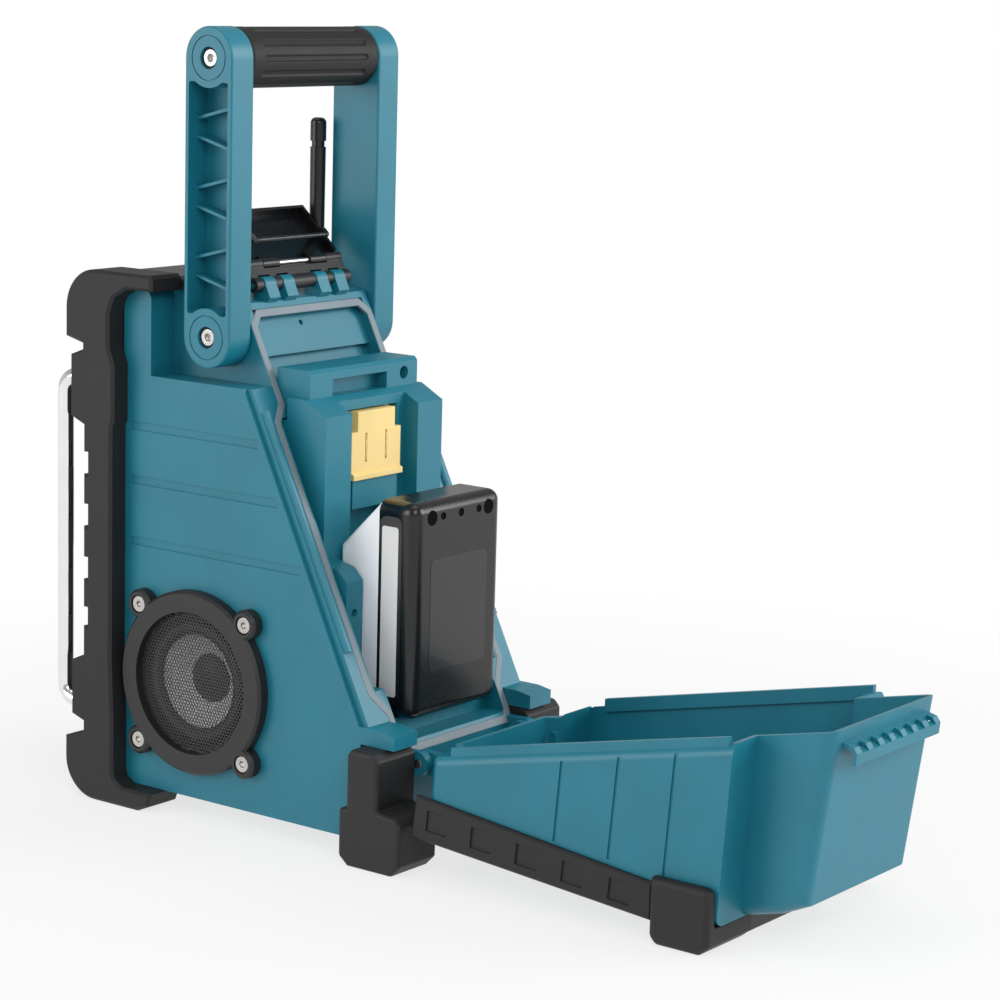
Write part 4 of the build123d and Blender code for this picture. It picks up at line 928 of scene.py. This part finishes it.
# ------------------------------------------------------------------ handle
@dataclass
class Grip:
    """Rubber sleeve of the handle, with long round-ended slots round it."""

    radius: float = 16.3
    slots: int = 12
    slot_facets: int = 20          # facets round the sleeve for each slot
    slot_width: float = 3.4
    slot_depth: float = 1.0
    slot_lead: float = 0.15        # how far outside its width a slot begins
    slot_slope: float = 0.7        # width of a slot's sloping wall
    slot_margin: float = 9.0       # from the sleeve's end to the slot's end
    slot_steps: tuple[float, ...] = (0.0, 0.1, 0.25, 0.45, 0.7, 1.0, 1.3)     # over its end, in half widths
    slot_start: float = 0.3        # where they begin, past the slot's end
    end_round: float = 1.2
    end_steps: tuple[float, ...] = (0.0, 0.15, 0.45, 0.9, 1.5, 4.0)

    def build(self) -> None:
        """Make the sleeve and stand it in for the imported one."""
        low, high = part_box("handle_grip")
        y0, z0 = (low.y + high.y) / 2, (low.z + high.z) / 2
        half = (high.x - low.x) / 2 / MM
        around, mesh = self.slots * self.slot_facets, bmesh.new()
        rings = []
        for along in self.stations(half):
            ring = []
            for k in range(around):
                turn = 2 * pi * k / around
                reach = self.skin(along, turn, half) * MM
                ring.append(mesh.verts.new((along * MM, y0 + reach * cos(turn), z0 + reach * sin(turn))))
            rings.append(ring)
        for one, two in zip(rings, rings[1:]):
            for k in range(around):
                after = (k + 1) % around
                mesh.faces.new((one[k], one[after], two[after], two[k]))
        for ring in (rings[0], rings[-1]):
            mesh.faces.new(ring)
        shade_weighted(new_piece("grip_sleeve", mesh, Finish.GRIP, "handle", ("handle_grip",)))

    def stations(self, half: float) -> list[float]:
        """Places along the sleeve, closer where its shape turns.

        Args:
            half: half the sleeve's length, in millimetres.

        Returns:
            The places, from one end to the other.
        """
        slot_end = half - self.slot_margin + self.slot_start
        places = [half - step for step in self.end_steps]
        places += [slot_end - self.slot_width / 2 * step for step in self.slot_steps]
        return sorted({-place for place in places} | set(places) | {0.0, -half / 3, half / 3})

    def skin(self, along: float, turn: float, half: float) -> float:
        """Radius of the sleeve's skin, in millimetres.

        Args:
            along: place along the sleeve.
            turn: angle round it, in radians.
            half: half the sleeve's length.

        Returns:
            The radius.
        """
        pitch = 2 * pi / self.slots
        across = abs((turn + pitch / 2) % pitch - pitch / 2) * self.radius
        beyond = max(0.0, abs(along) - (half - self.slot_margin - self.slot_width / 2))
        inside = self.slot_width / 2 - hypot(across, beyond)
        wall = min(1.0, max(0.0, (inside + self.slot_lead) / self.slot_slope))
        depth = self.slot_depth * wall * wall * (3 - 2 * wall)
        end = max(0.0, abs(along) - (half - self.end_round))
        return self.radius - depth - (self.end_round - sqrt(max(0.0, self.end_round ** 2 - end ** 2)))


@dataclass
class CounterboreShade:
    """Black rings in the handle's counterbores, round the screw heads: painted shade for the shadowed gap
    between head and counterbore.
    """

    arm_face: float = 69.5         # outer face of the arms, mm
    floor: float = 4.4             # depth of the counterbore
    inner: float = 4.75
    outer: float = 5.8
    thick: float = 2.6
    lead: float = 0.35             # slope of the ring's top edge
    facets: int = 48

    def build(self) -> None:
        """Make the painted-shade rings at the grip and at the pivot on both arms."""
        for place in ("handle_grip", "handle_pivot"):
            low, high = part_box(f"{place}_screws")
            for hand, side in SIDES:
                seat = side * (self.arm_face - self.floor) * MM
                centre = (seat, (low.y + high.y) / 2, (low.z + high.z) / 2)
                profile = [(self.inner, 0.0), (self.outer, 0.0), (self.outer, self.thick),
                           (self.inner + self.lead, self.thick), (self.inner, self.thick - self.lead),
                           (self.inner, 0.0)]
                # near-black ring: painted shade of the gap round the screw head
                new_piece(f"{place}_well_{hand}", lathe(profile, centre, side, self.facets), Finish.BLACK,
                          "handle")


@dataclass
class Handle:
    """Arms, grip and their screws."""

    dresser: Dresser
    screw_edge: float = 0.4

    def build(self) -> None:
        """Make the grip and the painted-shade rings of the screw counterbores, and dress the rest."""
        self.dresser.pair("handle_arm", Finish.TEAL)
        Grip().build()
        CounterboreShade().build()
        for name in ("handle_core", "handle_pivot_sleeves"):
            self.dresser.dress(name, Finish.STEEL)
        for name in ("handle_grip_screws", "handle_pivot_screws"):
            self.dresser.dress(name, Finish.STEEL, self.screw_edge)


@dataclass
class Antenna:
    """Rod antenna and its base."""

    dresser: Dresser
    base_edge: float = 0.4

    def build(self) -> None:
        """Dress the antenna."""
        self.dresser.dress("antenna_base", Finish.BLACK, self.base_edge)
        self.dresser.dress("antenna_rod", Finish.GLOSS_BLACK)


# ------------------------------------------------------------------ battery and its bay
@dataclass
class Bay:
    """Battery holder and terminals."""

    dresser: Dresser
    holder_edge: float = 0.6
    block_edge: float = 0.3
    blade_edge: float = 0.1

    def build(self) -> None:
        """Dress the fittings of the bay."""
        self.dresser.dress("battery_holder", Finish.TEAL, self.holder_edge)
        self.dresser.dress("terminal_block", Finish.YELLOW, self.block_edge)
        self.dresser.dress("terminal_blades", Finish.BRASS, self.blade_edge)


@dataclass
class BatteryShell:
    """Black case of the slide battery, with side plates, screw wells drawn in painted shade, and the bare bed
    of its back label.
    """

    rounding: float = 6.4          # of its outer edges, mm
    rounding_facets: int = 8
    seam: float = 0.1              # edges this close to the seam with the cap stay sharp
    film: float = 0.14             # how far plates stand proud
    bed_size: tuple[float, float] = (49.0, 61.0)
    bed_corner: float = 3.0
    bed_rise: float = -3.0         # bed's middle from the case's middle
    side_size: tuple[float, float] = (14.6, 101.0)
    side_corner: float = 4.5
    side_back: float = 8.2         # side plate's middle, back from the seam
    well_drop: float = 8.4         # wells' middles below the case's top
    wells: Profile = ((24.0, 3.6), (14.5, 1.6), (-1.0, 1.8), (-16.5, 1.6), (-25.0, 3.6))    # places and radii
    shade_face: float = 0.05        # how far a well's painted-shade disc stands proud
    lip_face: float = 0.2          # and the lip round it
    lip: tuple[float, float, float] = (0.1, 0.4, 0.6)  # lip's radii past the well's
    well_facets: int = 32

    def build(self) -> None:
        """Make the case and what is on it."""
        low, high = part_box("battery_case")
        self.case(low, high)
        middle = (low + high) / 2
        bed_centre = Vector((middle.x, high.y, middle.z + self.bed_rise * MM))
        bed = plate(self.bed_size, self.bed_corner, self.film, bed_centre, ACROSS, REAR)
        shade_weighted(new_piece("battery_label_bed", bed, Finish.BED, "battery"))
        for hand, side in SIDES:
            face = high.x if side > 0 else low.x
            centre = Vector((face, low.y + self.side_back * MM, middle.z))
            panel = plate(self.side_size, self.side_corner, self.film, centre, REAR, ACROSS * side)
            shade_weighted(new_piece(f"battery_side_plate_{hand}", panel, Finish.BED,
                                     "battery"))
        for count, (across, radius) in enumerate(self.wells, 1):
            centre = (across * MM, high.y, high.z - self.well_drop * MM)
            self.shade_ring(f"battery_screw_well_{count}", centre, radius)

    def case(self, low: Vector, high: Vector) -> None:
        """The case, rounded everywhere but at its seam with the cap.

        Args:
            low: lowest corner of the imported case.
            high: its highest corner.
        """
        mesh = bmesh.new()
        frame = Matrix.Translation((low + high) / 2) @ Matrix.Diagonal((*(high - low), 1.0))
        bmesh.ops.create_cube(mesh, size=1.0, matrix=frame)
        seam = low.y + self.seam * MM
        edges = [edge for edge in mesh.edges if max(vertex.co.y for vertex in edge.verts) > seam]
        bmesh.ops.bevel(mesh, geom=edges, offset=self.rounding * MM, segments=self.rounding_facets,
                        profile=0.5, affect="EDGES")
        shade_weighted(new_piece("battery_shell", mesh, Finish.GLOSS_BLACK, "battery",
                                 ("battery_case",)))

    def shade_ring(self, name: str, centre: Point, radius: float) -> None:
        """One screw well in the back face: a raised lip and a near-black disc whose colour is painted shade
        of the hole.

        Args:
            name: the piece's name.
            centre: its middle on the face, in metres.
            radius: its radius, in millimetres.
        """
        start, stop, foot = (radius + step for step in self.lip)
        profile = [(0.0, self.shade_face), (radius, self.shade_face), (start, self.lip_face),
                   (stop, self.lip_face), (foot, -self.lip_face), (0.0, -self.lip_face)]
        mesh = lathe(profile, centre, 1.0, self.well_facets)
        bmesh.ops.rotate(mesh, cent=centre, matrix=Matrix.Rotation(pi / 2, 3, "Z"), verts=mesh.verts)
        shade_weighted(new_piece(name, mesh, Finish.HOLE_SHADE, "battery"))


@dataclass
class Battery:
    """Slide battery."""

    dresser: Dresser
    cap_edge: float = 1.0
    button_edge: float = 0.4

    def build(self) -> None:
        """Make the shell and dress the rest."""
        BatteryShell().build()
        self.dresser.dress("battery_cap", Finish.GREY, self.cap_edge)
        self.dresser.dress("battery_cells", Finish.CELL)
        self.dresser.dress("battery_release_button", Finish.GREY, self.button_edge)
        self.dresser.dress("battery_side_labels", Finish.LABEL)


# ------------------------------------------------------------------ cover and latch
@dataclass
class Cover:
    """Battery cover, its rails and feet."""

    dresser: Dresser
    edge: float = 0.6
    rail_edge: float = 0.5
    foot_edge: float = 1.2
    bar_edge: float = 0.5
    pin_edge: float = 0.2

    def build(self) -> None:
        """Dress the cover."""
        self.dresser.dress("battery_cover", Finish.TEAL, self.edge)
        self.dresser.pair("cover_rail", Finish.RUBBER, self.rail_edge)
        self.dresser.pair("cover_foot", Finish.RUBBER, self.foot_edge)
        self.dresser.dress("cover_cross_bar", Finish.BLACK, self.bar_edge)
        self.dresser.dress("cover_hinge_pins", Finish.STEEL, self.pin_edge)


@dataclass
class Latch:
    """Latch lever, link and pins."""

    dresser: Dresser
    link_edge: float = 0.3
    lever_edge: float = 0.4

    def build(self) -> None:
        """Dress the latch."""
        self.dresser.dress("latch_hinge_rod", Finish.STEEL)
        self.dresser.dress("latch_pin", Finish.STEEL)
        self.dresser.dress("latch_link", Finish.BLACK, self.link_edge)
        self.dresser.dress("latch_lever", Finish.GLOSS_BLACK, self.lever_edge)


ASSEMBLIES = (Housing, Front, Armour, Loudspeakers, Handle, Antenna, Bay, Battery, Cover, Latch)


def main() -> None:
    """Load the frame and build everything."""
    logging.basicConfig(level=logging.INFO, format="%(message)s")
    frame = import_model()
    bpy.context.scene.view_settings.view_transform = "Standard"
    Studio().build()
    dresser = Dresser(frame["nodes"])
    for assembly in ASSEMBLIES:
        assembly(dresser).build()
        log.info("%s done", assembly.__name__)


if __name__ == "__main__":
    main()
